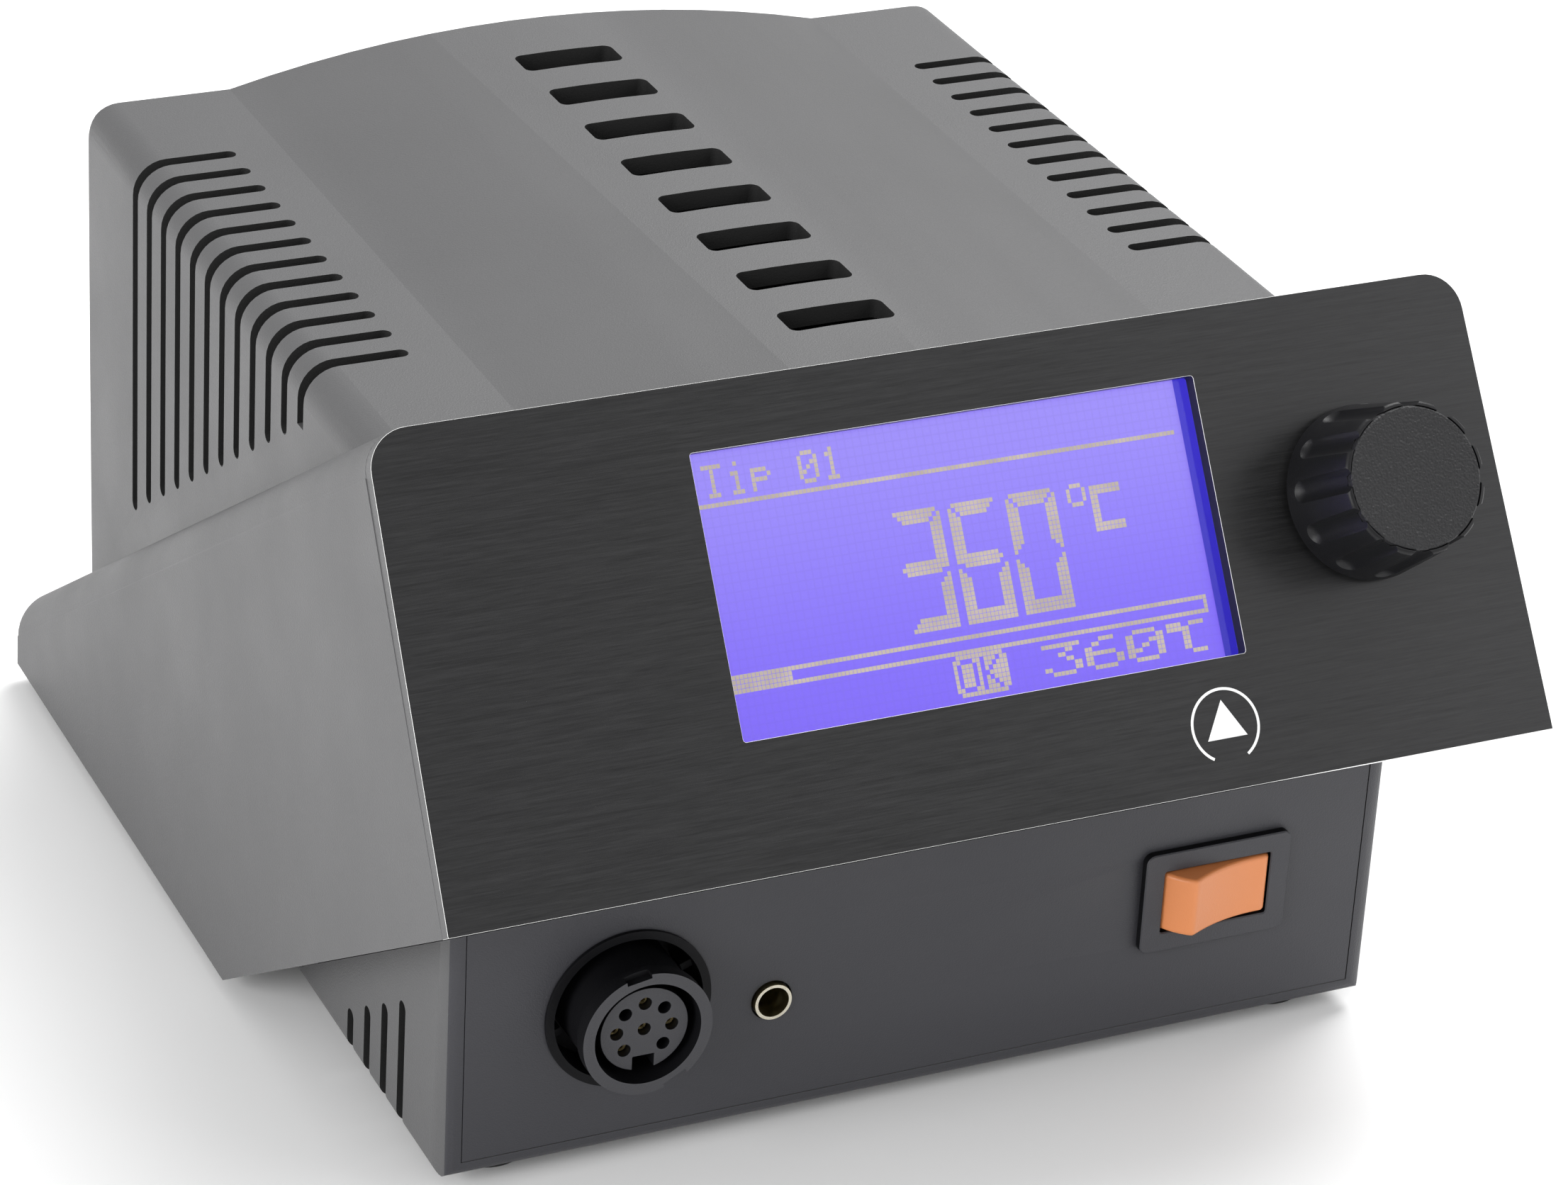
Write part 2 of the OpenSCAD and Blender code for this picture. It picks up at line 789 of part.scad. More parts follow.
module socket_collar() {
    color([0.06, 0.06, 0.06]) place() on_front(-socket_x, socket_z) {
        difference() {
            union() {
                disc(collar_flange_r, 0, 0.5);
                disc(collar_r, -collar_deep, 0);
            }
            disc(collar_in_r, -collar_deep + 1.5, 2);
            disc(tube_r, -collar_deep - 1, 2);
        }
        for (i = [0 : 5]) rotate([0, 0, i * 60 + 20])
            block([tube_r + 0.4, -rib_t / 2, -collar_deep + 1.4], [collar_in_r + 0.3, rib_t / 2, rib_top]);
    }
}

module socket_shell() {
    color([0.13, 0.13, 0.14]) place() on_front(-socket_x, socket_z) difference() {
        union() {
            disc(tube_r, -15, socket_out);
            disc(socket_r, socket_out - 2, socket_out);
        }
        disc(bore_r, -16, socket_out + 1);
        for (a = [100, -62]) rotate([0, 0, a])
            block([socket_r - 0.7, -notch_half, socket_out - notch_deep],
                  [socket_r + 1, notch_half, socket_out + 1]);
    }
}

// The middle of the insert and the places at these angles round it
module contact_sites(angles) {
    children();
    for (a = angles) rotate([0, 0, a]) translate([contact_ring, 0, 0]) children();
}

module socket_insert() {
    color([0.1, 0.1, 0.1]) place() on_front(-socket_x, socket_z) difference() {
        union() {
            disc(insert_r, insert_back, socket_out - insert_sink);
            disc(bore_r, insert_back, -6);
        }
        contact_sites(hole_angles) disc(contact_hole_r, insert_back - 1, socket_out);
        block([-key_half, -insert_r - 1, -5], [key_half, -insert_r + key_deep, socket_out]);
    }
}

module socket_contacts() {
    color([0.75, 0.6, 0.3]) place() on_front(-socket_x, socket_z) contact_sites(fitted_angles) difference() {
        disc(contact_r, insert_back - 4, socket_out - 2.4);
        disc(contact_r - 0.3, socket_out - 8, socket_out);
    }
}

module socket_nut() {
    color([0.15, 0.15, 0.16]) place() on_front(-socket_x, socket_z) difference() {
        translate([0, 0, -front_t - slip - socket_nut_t])
            cylinder(r = collar_r + 3, h = socket_nut_t, $fn = 6);
        disc(collar_r, -12, 0);
    }
}

module earth_jack() {
    color([0.75, 0.66, 0.42]) place() on_front(-jack_x, jack_z) difference() {
        union() {
            disc(jack_bore_r + 0.4, 0, 0.6);
            disc(jack_bore_r + jack_wall, -17, 0);
        }
        disc(jack_bore_r, -15, 1);
    }
}

module earth_jack_nut() {
    color([0.75, 0.75, 0.76]) place() on_front(-jack_x, jack_z) difference() {
        translate([0, 0, -front_t - slip - jack_nut_t]) cylinder(r = 4.2, h = jack_nut_t, $fn = 6);
        disc(jack_bore_r + jack_wall, -12, 0);
    }
}

// ---------------------------------------------------------------- mains switch

// The room that the rocker swings in, about its pivot
module rocker_room() {
    translate([0, 0, pivot_w]) rotate([90, 0, 0])
        cylinder(r = rocker_r + move_gap, h = 2 * rocker_open_hh, center = true, $fn = 128);
}

module switch_bezel() {
    color([0.2, 0.2, 0.22]) place() on_front(switch_x, switch_z) difference() {
        linear_extrude(height = bezel_t) round_rect(switch_w, switch_h, bezel_r);
        rocker_room();
    }
}

module switch_body() {
    color([0.07, 0.07, 0.07]) place() on_front(switch_x, switch_z) difference() {
        plate(2 * switch_body_hw, 2 * switch_body_hh, switch_back, 0);
        plate(2 * (rocker_r + move_gap), 2 * rocker_open_hh, pivot_w - rocker_well, 2);
        translate([0, 0, pivot_w]) rotate([90, 0, 0])
            cylinder(r = pivot_r + 0.06, h = 2 * rocker_hh + 2.8, center = true);
    }
}

// Plan view of the rocker: end faces that are arcs about the pivot, and a dished face between them
module rocker_plan() {
    half = rocker_r * cos(rocker_ridge);
    rise = rocker_r * sin(rocker_ridge);
    spread = asin(half / dish_r);
    centre = [0, rise + dish_r * cos(spread)];
    polygon(concat(
        arc([0, 0], rocker_r, -rocker_foot, rocker_ridge, 10),
        arc(centre, dish_r, -90 + spread - 2, -90 - spread + 2, 12),
        arc([0, 0], rocker_r, 180 - rocker_ridge, 180 + rocker_foot, 10)));
}

module switch_rocker() {
    color([0.9, 0.5, 0.24]) place() on_front(switch_x, switch_z) translate([0, 0, pivot_w])
        rotate([0, rocker_swing / 2, 0]) {
            rotate([90, 0, 0]) translate([0, 0, -rocker_hh])
                linear_extrude(height = 2 * rocker_hh) rocker_plan();
            rotate([90, 0, 0]) cylinder(r = pivot_r, h = 2 * rocker_hh + 2.2, center = true);
        }
}

module switch_terminals() {
    color([0.8, 0.76, 0.62]) place() on_front(switch_x, switch_z) for (x = [-5, 5], y = [-3, 3]) {
        translate([x - 0.4, y - 2.4, switch_back - 8]) cube([0.8, 4.8, 8]);
    }
}

// ---------------------------------------------------------------- mains inlet

module mains_inlet() {
    color([0.07, 0.07, 0.07]) place() on_rear(inlet_x, inlet_z) difference() {
        union() {
            translate([0, 0, 0]) linear_extrude(height = inlet_flange_t)
                round_rect(inlet_flange[0], inlet_flange[1], 1.5);
            plate(inlet_body[0], inlet_body[1], -inlet_deep, 0);
        }
        translate([0, inlet_cup_v, inlet_flange_t - inlet_cup_deep])
            linear_extrude(height = inlet_cup_deep + 1) inlet_cup_outline();
        translate([0, drawer_v, 0]) plate(drawer_size[0] + 2 * move_gap, drawer_size[1] + 2 * move_gap,
            inlet_flange_t - drawer_deep - 1.5, inlet_flange_t + 1);
        for (x = [-7, 0, 7]) translate([x, inlet_cup_v - (x == 0 ? -2 : 2), 0])
            plate(4.2, 2.2, -inlet_deep - 1, 0);
    }
}

// The mouth for a mains connector, with its two cut corners
module inlet_cup_outline() {
    w = inlet_cup[0] / 2;
    h = inlet_cup[1] / 2;
    cut = 5;
    polygon([[-w, -h], [w, -h], [w, h - cut], [w - cut, h], [-w + cut, h], [-w, h - cut]]);
}

module inlet_pins() {
    color([0.8, 0.78, 0.68]) place() on_rear(inlet_x, inlet_z)
        for (x = [-7, 0, 7]) translate([x, inlet_cup_v - (x == 0 ? -2 : 2), 0])
            plate(4, 2, -inlet_deep - 7, inlet_flange_t - 1.4);
}

module fuse_drawer() {
    color([0.1, 0.1, 0.1]) place() on_rear(inlet_x, inlet_z) translate([0, drawer_v, 0]) difference() {
        union() {
            plate(drawer_size[0], drawer_size[1], inlet_flange_t - drawer_deep, inlet_flange_t + move_gap);
            plate(drawer_face[0], drawer_face[1], inlet_flange_t + move_gap,
                inlet_flange_t + move_gap + drawer_face_t);
        }
        for (s = [-1, 1]) translate([s * fuse_spread, 0, 0])
            plate(2 * fuse_r + 0.6, drawer_size[1] + 1, inlet_flange_t - drawer_deep + 1,
                inlet_flange_t - drawer_deep + fuse_len + 1.6);
    }
}

module fuses() {
    color([0.85, 0.85, 0.85]) place() on_rear(inlet_x, inlet_z) translate([0, drawer_v, 0])
        for (s = [-1, 1]) translate([s * fuse_spread, 0, 0])
            disc(fuse_r, inlet_flange_t - drawer_deep + 1.3, inlet_flange_t - drawer_deep + 1.3 + fuse_len);
}

// ---------------------------------------------------------------- transformer

module on_core() {
    translate([core_x, core_y, floor_top + 0.1]) children();
}

module transformer_core() {
    color([0.35, 0.36, 0.38]) place() on_core() difference() {
        block([-core_w / 2, -core_d / 2, 0], [core_w / 2, core_d / 2, core_h]);
        for (s = [-1, 1]) translate([s * (leg_w / 2 + (core_w / 2 - limb_w - leg_w / 2) / 2), 0, core_h / 2])
            cube([core_w / 2 - limb_w - leg_w / 2, core_d + 2, window_h], center = true);
    }
}

module transformer_winding() {
    slot_side = core_w / 2 - limb_w;
    color([0.75, 0.6, 0.2]) place() on_core() difference() {
        translate([0, 0, limb_w + 0.3]) linear_extrude(height = window_h - 0.6)
            round_rect(2 * (slot_side - 0.4), core_d + 2 * winding_bulge, 4);
        block([-leg_w / 2 - 0.2, -core_d / 2 - 0.2, 0], [leg_w / 2 + 0.2, core_d / 2 + 0.2, core_h]);
    }
}

module transformer_strap() {
    w = core_w / 2 + 0.2;
    h = core_h + 0.3;
    color([0.7, 0.7, 0.72]) place() on_core() difference() {
        union() {
            block([-w - strap_t, -strap_d / 2, 0], [-w, strap_d / 2, h + strap_t]);
            block([w, -strap_d / 2, 0], [w + strap_t, strap_d / 2, h + strap_t]);
            block([-w - strap_t, -strap_d / 2, h], [w + strap_t, strap_d / 2, h + strap_t]);
            block([-w - strap_foot, -strap_d / 2, 0], [-w, strap_d / 2, strap_t]);
            block([w, -strap_d / 2, 0], [w + strap_foot, strap_d / 2, strap_t]);
        }
        translate([-core_x, -core_y, -floor_top]) strap_bolt_sites() disc(1.6, floor_top - 1, floor_top + 3);
    }
}

module strap_bolt_sites() {
    for (s = [-1, 1], t = [-1, 1])
        translate([core_x + s * (core_w / 2 + 3.6), core_y + t * strap_d * 0.3, 0]) children();
}

module strap_bolts() {
    color([0.8, 0.8, 0.82]) place() strap_bolt_sites() {
        disc(1.5, body_z + 0.5, floor_top + 0.2);
        disc(1.5, floor_top + 0.1, floor_top + strap_t + 0.3);
        translate([0, 0, floor_top + strap_t + 0.2]) cylinder(r = 2, h = 1.8, $fn = 6);
    }
}

// ---------------------------------------------------------------- power board

module board_post_sites() {
    for (x = [board_x[0] + 4, board_x[1] - 4], y = [board_y[0] + 4, board_y[1] - 4])
        translate([x, y, 0]) children();
}

module board_posts() {
    board_post_sites() disc(post_r, floor_top - 1, board_z - seam);
}

module power_board() {
    color([0.05, 0.3, 0.15]) place() difference() {
        block([board_x[0], board_y[0], board_z], [board_x[1], board_y[1], board_z + pcb_t]);
        board_post_sites() disc(screw_r, 0, 30);
    }
}

module board_screws() {
    color([0.8, 0.8, 0.82]) place() board_post_sites() {
        disc(screw_r - 0.25, body_z + 2, board_z + pcb_t + 0.2);
        disc(2.4, board_z + pcb_t, board_z + pcb_t + 1.6);
    }
}

module heatsink() {
    color([0.6, 0.61, 0.63]) place() {
        block([sink_x, sink_y[0], part_z], [sink_x + sink_t, sink_y[1], part_z + sink_h]);
        for (i = [0 : fin_count - 1]) {
            y = sink_y[0] + i * fin_pitch;
            block([sink_x + sink_t - 0.1, y, part_z], [sink_x + fin_reach, y + fin_t, part_z + sink_h]);
        }
    }
}

// A flat power switch on three legs, held against the heatsink
module power_triac() {
    z0 = board_z + pcb_t + triac_lift;
    leg_x = sink_x - 3;
    color([0.07, 0.07, 0.07]) place() {
        block([sink_x - 0.1 - triac_size[0], triac_y - triac_size[1] / 2, z0],
              [sink_x - 0.1, triac_y + triac_size[1] / 2, z0 + triac_size[2]]);
        for (i = [-1 : 1]) {
            y = triac_y + i * triac_leg_pitch;
            block([leg_x, y - 0.4, part_z], [leg_x + 0.6, y + 0.4, z0 + 1]);
        }
    }
}

module reservoir_capacitor() {
    color([0.1, 0.12, 0.2]) place() translate([can_x, can_y, part_z]) {
        disc(can_r, 0, can_h);
        disc(can_r + 0.05, 1, can_h - 1);
    }
}

module terminal_block() {
    color([0.1, 0.45, 0.2]) place() difference() {
        block([clamp_x - clamp_half, clamp_y0 - clamp_pitch / 2, part_z],
              [clamp_x + clamp_half, clamp_y0 + (clamp_count - 0.5) * clamp_pitch, part_z + clamp_h]);
        for (i = [0 : clamp_count - 1]) translate([clamp_x, clamp_y0 + i * clamp_pitch, 0])
            disc(cable_r + 0.2, clamp_z, part_z + clamp_h + 1);
    }
}

// Two pin headers for the ribbon cable, one on each board
module ribbon_headers() {
    color([0.12, 0.12, 0.12]) place() {
        block([power_header_x[0], power_header_y[0], part_z],
              [power_header_x[1], power_header_y[1], part_z + header_h]);
        on_panel() block([header_u[0], header_v[0], control_w0 - 0.1 - header_h],
                         [header_u[1], header_v[1], control_w0 - 0.1]);
    }
}

// A flat ribbon cable from the power board up to the control board
module ribbon_cable() {
    hi = slope_point(header_v[0] + 2.5, control_w0 - header_h - 0.3);
    x0 = header_u[0] + 1;
    x1 = power_header_x[1] - 1;
    y1 = ribbon_y + ribbon_t;
    bend_z = ribbon_top - ribbon_band;
    color([0.62, 0.62, 0.64]) place() {
        block([power_header_x[0] + 1, ribbon_y, part_z + header_h + 0.1], [x1, y1, bend_z + eps]);
        block([x0, ribbon_y, bend_z], [x1, y1, ribbon_top]);
        along_x(x0, header_u[1] - 1) polygon([
            [ribbon_y, ribbon_top - 0.1], [y1, ribbon_top - 0.1],
            [hi[0] + 1.6, hi[1] - 1], hi, [hi[0] - 0.2, hi[1] - 0.6]]);
    }
}

// ---------------------------------------------------------------- leads

module mains_leads() {
    from = [switch_x + 5, body_front - switch_back + 8.9, switch_z];
    to = [inlet_x, body_rear - inlet_deep - 8, inlet_z + inlet_cup_v - 2];
    color([0.45, 0.25, 0.12]) place() {
        lead([from - [0, 0, 3], from + [0, 3, 0], from + [0, 7, 21],
            to + [7, -12, 18], to + [7, -3, 5], to + [7, 0, 0]], lead_r);
        lead([from + [0, 0, 3], from + [0, 2, 8], from + [0, 9, 28],
            to + [-7, -12, 24], to + [-7, -3, 8], to - [7, 0, 0]], lead_r);
    }
}

module earth_lead() {
    from = [-jack_x, body_front + 17.6, jack_z];
    to = [inlet_x, body_rear - inlet_deep - 8, inlet_z + inlet_cup_v + 2];
    color([0.5, 0.65, 0.1]) place() lead([
        from, from + [0, 7, 4], [6, 60, 50], [8, to[1] - 12, 62], to + [0, -5, 18], to], lead_r);
}

// Leads from the winding to two of the terminal block's clamps
module secondary_leads() {
    coil_y = core_y - core_d / 2 - winding_bulge - 0.6;
    color([0.75, 0.1, 0.1]) place() for (i = [0 : 1]) {
        x = core_x + 4 + i * 10;
        y = clamp_y0 + (i + 1) * clamp_pitch;
        z = 42 - i * 4;
        lead([[x, coil_y, 36], [x, y + 2.5, z], [clamp_x, y, z], [clamp_x, y, clamp_z + 0.2]], lead_r);
    }
}

// Jacketed cable from the tool socket to the first clamp
module socket_cable() {
    from = [-socket_x, body_front - insert_back + 4.4, socket_z];
    color([0.15, 0.15, 0.17]) place() lead([
        from, from + [0, 9, 2], [clamp_x - 6, clamp_y0 - 6, 34], [clamp_x, clamp_y0, 34],
        [clamp_x, clamp_y0, clamp_z + 0.2]], cable_r);
}

// ---------------------------------------------------------------- feet and screws

module rubber_feet() {
    color([0.05, 0.05, 0.05]) place() foot_sites() {
        disc(foot_r, 0, body_z);
        disc(foot_stem_r, body_z - 0.5, floor_top);
        disc(foot_stem_r + 0.6, floor_top, floor_top + 0.8);
    }
}

module housing_screws() {
    color([0.7, 0.7, 0.72]) place() screw_sites() {
        disc(screw_head_r, body_z - 0.2, body_z + 1.4);
        disc(screw_r, body_z + 1, floor_top + 12);
    }
}

upper_housing();
base_tray();
front_fascia();
front_panel();
display_window();
lcd_glass();
lcd_frame();
lcd_board();
control_board();
control_chips();
board_spacers();
encoder_body();
encoder_bushing();
encoder_nut();
encoder_plunger();
encoder_shaft();
control_knob();
knob_cap();
socket_collar();
socket_shell();
socket_insert();
socket_contacts();
socket_nut();
earth_jack();
earth_jack_nut();
switch_bezel();
switch_body();
switch_rocker();
switch_terminals();
mains_inlet();
inlet_pins();
fuse_drawer();
fuses();
transformer_core();
transformer_winding();
transformer_strap();
strap_bolts();
power_board();
heatsink();
power_triac();
reservoir_capacitor();
terminal_block();
board_screws();
ribbon_headers();
ribbon_cable();
mains_leads();
earth_lead();
secondary_leads();
socket_cable();
rubber_feet();
housing_screws();
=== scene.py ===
"""Looks of a soldering iron station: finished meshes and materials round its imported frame.

Each sub-assembly of the station is a class that builds and dresses its own pieces. Every
piece rides on the body that the frame gives for the node it stands for.
"""

import json
import logging
import math
from dataclasses import dataclass, field
from enum import Enum
from collections.abc import Callable
from functools import lru_cache
from typing import ClassVar

import bmesh
import bpy
from mathutils import Matrix, Vector
from mathutils.bvhtree import BVHTree

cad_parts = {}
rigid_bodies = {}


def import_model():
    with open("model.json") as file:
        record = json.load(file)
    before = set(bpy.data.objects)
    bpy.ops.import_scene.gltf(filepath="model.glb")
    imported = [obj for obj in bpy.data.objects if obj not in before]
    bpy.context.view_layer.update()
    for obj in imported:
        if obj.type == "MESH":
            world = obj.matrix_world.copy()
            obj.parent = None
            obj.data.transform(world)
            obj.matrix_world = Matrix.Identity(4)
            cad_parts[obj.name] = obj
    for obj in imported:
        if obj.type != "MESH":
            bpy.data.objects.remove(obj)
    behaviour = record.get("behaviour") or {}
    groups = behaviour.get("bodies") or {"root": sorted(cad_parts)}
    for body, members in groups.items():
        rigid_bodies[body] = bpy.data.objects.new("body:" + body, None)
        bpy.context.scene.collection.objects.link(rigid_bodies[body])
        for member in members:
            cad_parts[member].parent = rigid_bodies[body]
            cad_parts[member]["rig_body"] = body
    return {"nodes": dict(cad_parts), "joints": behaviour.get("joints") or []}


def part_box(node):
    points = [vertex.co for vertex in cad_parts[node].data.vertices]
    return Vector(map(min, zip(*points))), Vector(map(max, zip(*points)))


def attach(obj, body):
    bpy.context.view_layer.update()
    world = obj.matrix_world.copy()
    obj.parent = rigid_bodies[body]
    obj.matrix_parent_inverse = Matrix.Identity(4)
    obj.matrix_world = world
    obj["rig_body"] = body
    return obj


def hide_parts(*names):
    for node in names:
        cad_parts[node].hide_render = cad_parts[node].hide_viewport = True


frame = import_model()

LOG = logging.getLogger("station")
MM = 0.001
WELD = 2e-6
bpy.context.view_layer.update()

Colour = tuple[float, float, float]
Outline = list[tuple[float, float]]
Zone = Callable[[Vector, Vector, BVHTree], int]


# ------------------------------------------------------------------ places

@dataclass(frozen=True)
class Face:
    """A flat working face of the station, with its own three directions."""

    origin: Vector
    across: Vector
    up: Vector
    out: Vector

    def at(self, across: float, up: float, out: float = 0.0) -> Vector:
        """Gives the point at these distances from the face's origin.

        Args:
            across: Distance along the face, in metres.
            up: Distance up the face, in metres.
            out: Distance out of the face, in metres.

        Returns:
            The point in the station's frame.
        """
        return self.origin + self.across * across + self.up * up + self.out * out

    def matrix(self) -> Matrix:
        """Turns face coordinates into the station's frame."""
        columns = (self.across, self.up, self.out, self.origin)
        rows = [[column[i] for column in columns] for i in range(3)]
        return Matrix(rows + [[0.0, 0.0, 0.0, 1.0]])


PANEL_THICKNESS = 2.0 * MM


def panel_face() -> Face:
    """Finds the control panel's face from the knob's axis and the panel's box."""
    axis = next(joint["axis"] for joint in frame["joints"] if joint["name"] == "knob_turn")
    out = Vector(axis).normalized()
    if out.z < 0:
        out = -out
    up = Vector((0.0, out.z, -out.y))
    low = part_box("front_panel")[0]
    origin = Vector((0.0, low.y, low.z + PANEL_THICKNESS * out.z))
    return Face(origin, Vector((1.0, 0.0, 0.0)), up, out)


PANEL = panel_face()
LEAN = math.atan2(PANEL.out.z, -PANEL.out.y)


# ------------------------------------------------------------------ shader groups

class GroupName(Enum):
    """The shader groups that the finishes share."""

    GRAIN = "moulded_grain"
    BRUSHED = "brushed_lines"
    EDGE_HIGHLIGHT = "painted_edge_highlight"
    DUST = "settled_dust"


def add_node(tree: bpy.types.NodeTree, kind: str, inputs: dict | None = None,
             **settings: object) -> bpy.types.Node:
    """Adds a node to a tree.

    Args:
        tree: The tree that gets the node.
        kind: Blender's name of the node type.
        inputs: Input values, or output sockets to join, by input name or number.
        settings: Properties of the node itself.

    Returns:
        The new node.
    """
    node = tree.nodes.new(kind)
    for key, value in settings.items():
        setattr(node, key, value)
    for key, value in (inputs or {}).items():
        if isinstance(value, bpy.types.NodeSocket):
            tree.links.new(value, node.inputs[key])
        else:
            node.inputs[key].default_value = value
    return node


def new_group(name: GroupName, inputs: dict[str, float], outputs: tuple[str, ...]) -> tuple:
    """Starts a shader group with named inputs and outputs.

    Args:
        name: Which of the shared groups it is.
        inputs: Default value of each input, by name.
        outputs: Names of the outputs.

    Returns:
        The group's tree, its input node and its output node.
    """
    tree = bpy.data.node_groups.new(name.value, "ShaderNodeTree")
    for title, value in inputs.items():
        socket = tree.interface.new_socket(name=title, in_out="INPUT", socket_type="NodeSocketFloat")
        socket.default_value = value
    for title in outputs:
        tree.interface.new_socket(name=title, in_out="OUTPUT", socket_type="NodeSocketFloat")
    return tree, tree.nodes.new("NodeGroupInput"), tree.nodes.new("NodeGroupOutput")


def build_grain_group() -> bpy.types.NodeTree:
    """Spark-eroded tool texture with a soft, wide unevenness of tone."""
    tree, given, made = new_group(
        GroupName.GRAIN, {"Scale": 5200.0, "Mottle Scale": 42.0}, ("Height", "Mottle"))
    place = add_node(tree, "ShaderNodeTexCoord").outputs["Object"]
    pits = add_node(tree, "ShaderNodeTexVoronoi",
                    {"Vector": place, "Scale": given.outputs["Scale"], "Randomness": 1.0},
                    feature="SMOOTH_F1")
    fine = add_node(tree, "ShaderNodeTexNoise",
                    {"Vector": place, "Scale": given.outputs["Scale"], "Detail": 3.0, "Roughness": 0.6})
    height = add_node(tree, "ShaderNodeMath",
                      {0: pits.outputs["Distance"], 1: fine.outputs["Fac"]}, operation="ADD")
    wide = add_node(tree, "ShaderNodeTexNoise", {
        "Vector": place, "Scale": given.outputs["Mottle Scale"], "Detail": 4.0, "Roughness": 0.55})
    spread = add_node(tree, "ShaderNodeMapRange",
                      {"Value": wide.outputs["Fac"], "From Min": 0.35, "From Max": 0.65})
    tree.links.new(height.outputs[0], made.inputs["Height"])
    tree.links.new(spread.outputs["Result"], made.inputs["Mottle"])
    return tree


def build_brushed_group() -> bpy.types.NodeTree:
    """Fine lines that run across a metal sheet, on a face that leans by Lean."""
    tree, given, made = new_group(
        GroupName.BRUSHED, {"Lean": 0.0, "Along Scale": 60.0, "Across Scale": 5200.0}, ("Height", "Streak"))
    place = add_node(tree, "ShaderNodeTexCoord").outputs["Object"]
    turn = add_node(tree, "ShaderNodeCombineXYZ", {"X": given.outputs["Lean"]})
    level = add_node(tree, "ShaderNodeMapping", {"Vector": place, "Rotation": turn.outputs[0]})
    across = given.outputs["Across Scale"]
    stretch = add_node(tree, "ShaderNodeCombineXYZ",
                       {"X": given.outputs["Along Scale"], "Y": across, "Z": across})
    lines_at = add_node(tree, "ShaderNodeVectorMath",
                        {0: level.outputs[0], 1: stretch.outputs[0]}, operation="MULTIPLY")
    lines = add_node(tree, "ShaderNodeTexNoise",
                     {"Vector": lines_at.outputs[0], "Scale": 1.0, "Detail": 4.0, "Roughness": 0.7})
    broad_at = add_node(tree, "ShaderNodeVectorMath", {0: lines_at.outputs[0]}, operation="SCALE")
    broad_at.inputs["Scale"].default_value = 0.3
    broad = add_node(tree, "ShaderNodeTexNoise",
                     {"Vector": broad_at.outputs[0], "Scale": 1.0, "Detail": 1.0, "Roughness": 0.4})
    both = add_node(tree, "ShaderNodeMath",
                    {0: broad.outputs["Fac"], 1: 0.35, 2: lines.outputs["Fac"]}, operation="MULTIPLY_ADD")
    streak = add_node(tree, "ShaderNodeMapRange",
                      {"Value": both.outputs[0], "From Min": 0.45, "From Max": 0.9})
    tree.links.new(lines.outputs["Fac"], made.inputs["Height"])
    tree.links.new(streak.outputs["Result"], made.inputs["Streak"])
    return tree


def build_edge_highlight_group() -> bpy.types.NodeTree:
    """Mask of the edges that get a painted highlight, broken up by a fine noise."""
    tree, given, made = new_group(GroupName.EDGE_HIGHLIGHT, {"Radius": 0.0004, "Break Up": 900.0}, ("Mask",))
    soft = add_node(tree, "ShaderNodeBevel", {"Radius": given.outputs["Radius"]}, samples=4)
    flat = add_node(tree, "ShaderNodeNewGeometry")
    same = add_node(tree, "ShaderNodeVectorMath",
                    {0: soft.outputs["Normal"], 1: flat.outputs["Normal"]}, operation="DOT_PRODUCT")
    edge = add_node(tree, "ShaderNodeMapRange",
                    {"Value": same.outputs["Value"], "From Min": 0.995, "From Max": 0.80})
    place = add_node(tree, "ShaderNodeTexCoord").outputs["Object"]
    patch = add_node(tree, "ShaderNodeTexNoise",
                     {"Vector": place, "Scale": given.outputs["Break Up"], "Detail": 3.0})
    broken = add_node(tree, "ShaderNodeMapRange",
                      {"Value": patch.outputs["Fac"], "From Min": 0.3, "From Max": 0.6})
    mask = add_node(tree, "ShaderNodeMath", {0: edge.outputs["Result"], 1: broken.outputs["Result"]},
                    operation="MULTIPLY")
    tree.links.new(mask.outputs[0], made.inputs["Mask"])
    return tree


def build_dust_group() -> bpy.types.NodeTree:
    """Mask of the fine dust that settles on faces that look upwards."""
    tree, given, made = new_group(GroupName.DUST, {"Scale": 700.0}, ("Mask",))
    flat = add_node(tree, "ShaderNodeNewGeometry")
    parts = add_node(tree, "ShaderNodeSeparateXYZ", {0: flat.outputs["Normal"]})
    upward = add_node(tree, "ShaderNodeMapRange",
                      {"Value": parts.outputs["Z"], "From Min": 0.3, "From Max": 1.0})
    place = add_node(tree, "ShaderNodeTexCoord").outputs["Object"]
    specks = add_node(tree, "ShaderNodeTexNoise",
                      {"Vector": place, "Scale": given.outputs["Scale"], "Detail": 6.0, "Roughness": 0.75})
    thin = add_node(tree, "ShaderNodeMapRange",
                    {"Value": specks.outputs["Fac"], "From Min": 0.45, "From Max": 0.75})
    mask = add_node(tree, "ShaderNodeMath", {0: upward.outputs["Result"], 1: thin.outputs["Result"]},
                    operation="MULTIPLY")
    tree.links.new(mask.outputs[0], made.inputs["Mask"])
    return tree


GROUP_MAKERS = {
    GroupName.GRAIN: build_grain_group,
    GroupName.BRUSHED: build_brushed_group,
    GroupName.EDGE_HIGHLIGHT: build_edge_highlight_group,
    GroupName.DUST: build_dust_group,
}


@lru_cache(maxsize=None)
def shared_group(name: GroupName) -> bpy.types.NodeTree:
    """Gives a shared group, which is built the first time that it is asked for."""
    return GROUP_MAKERS[name]()


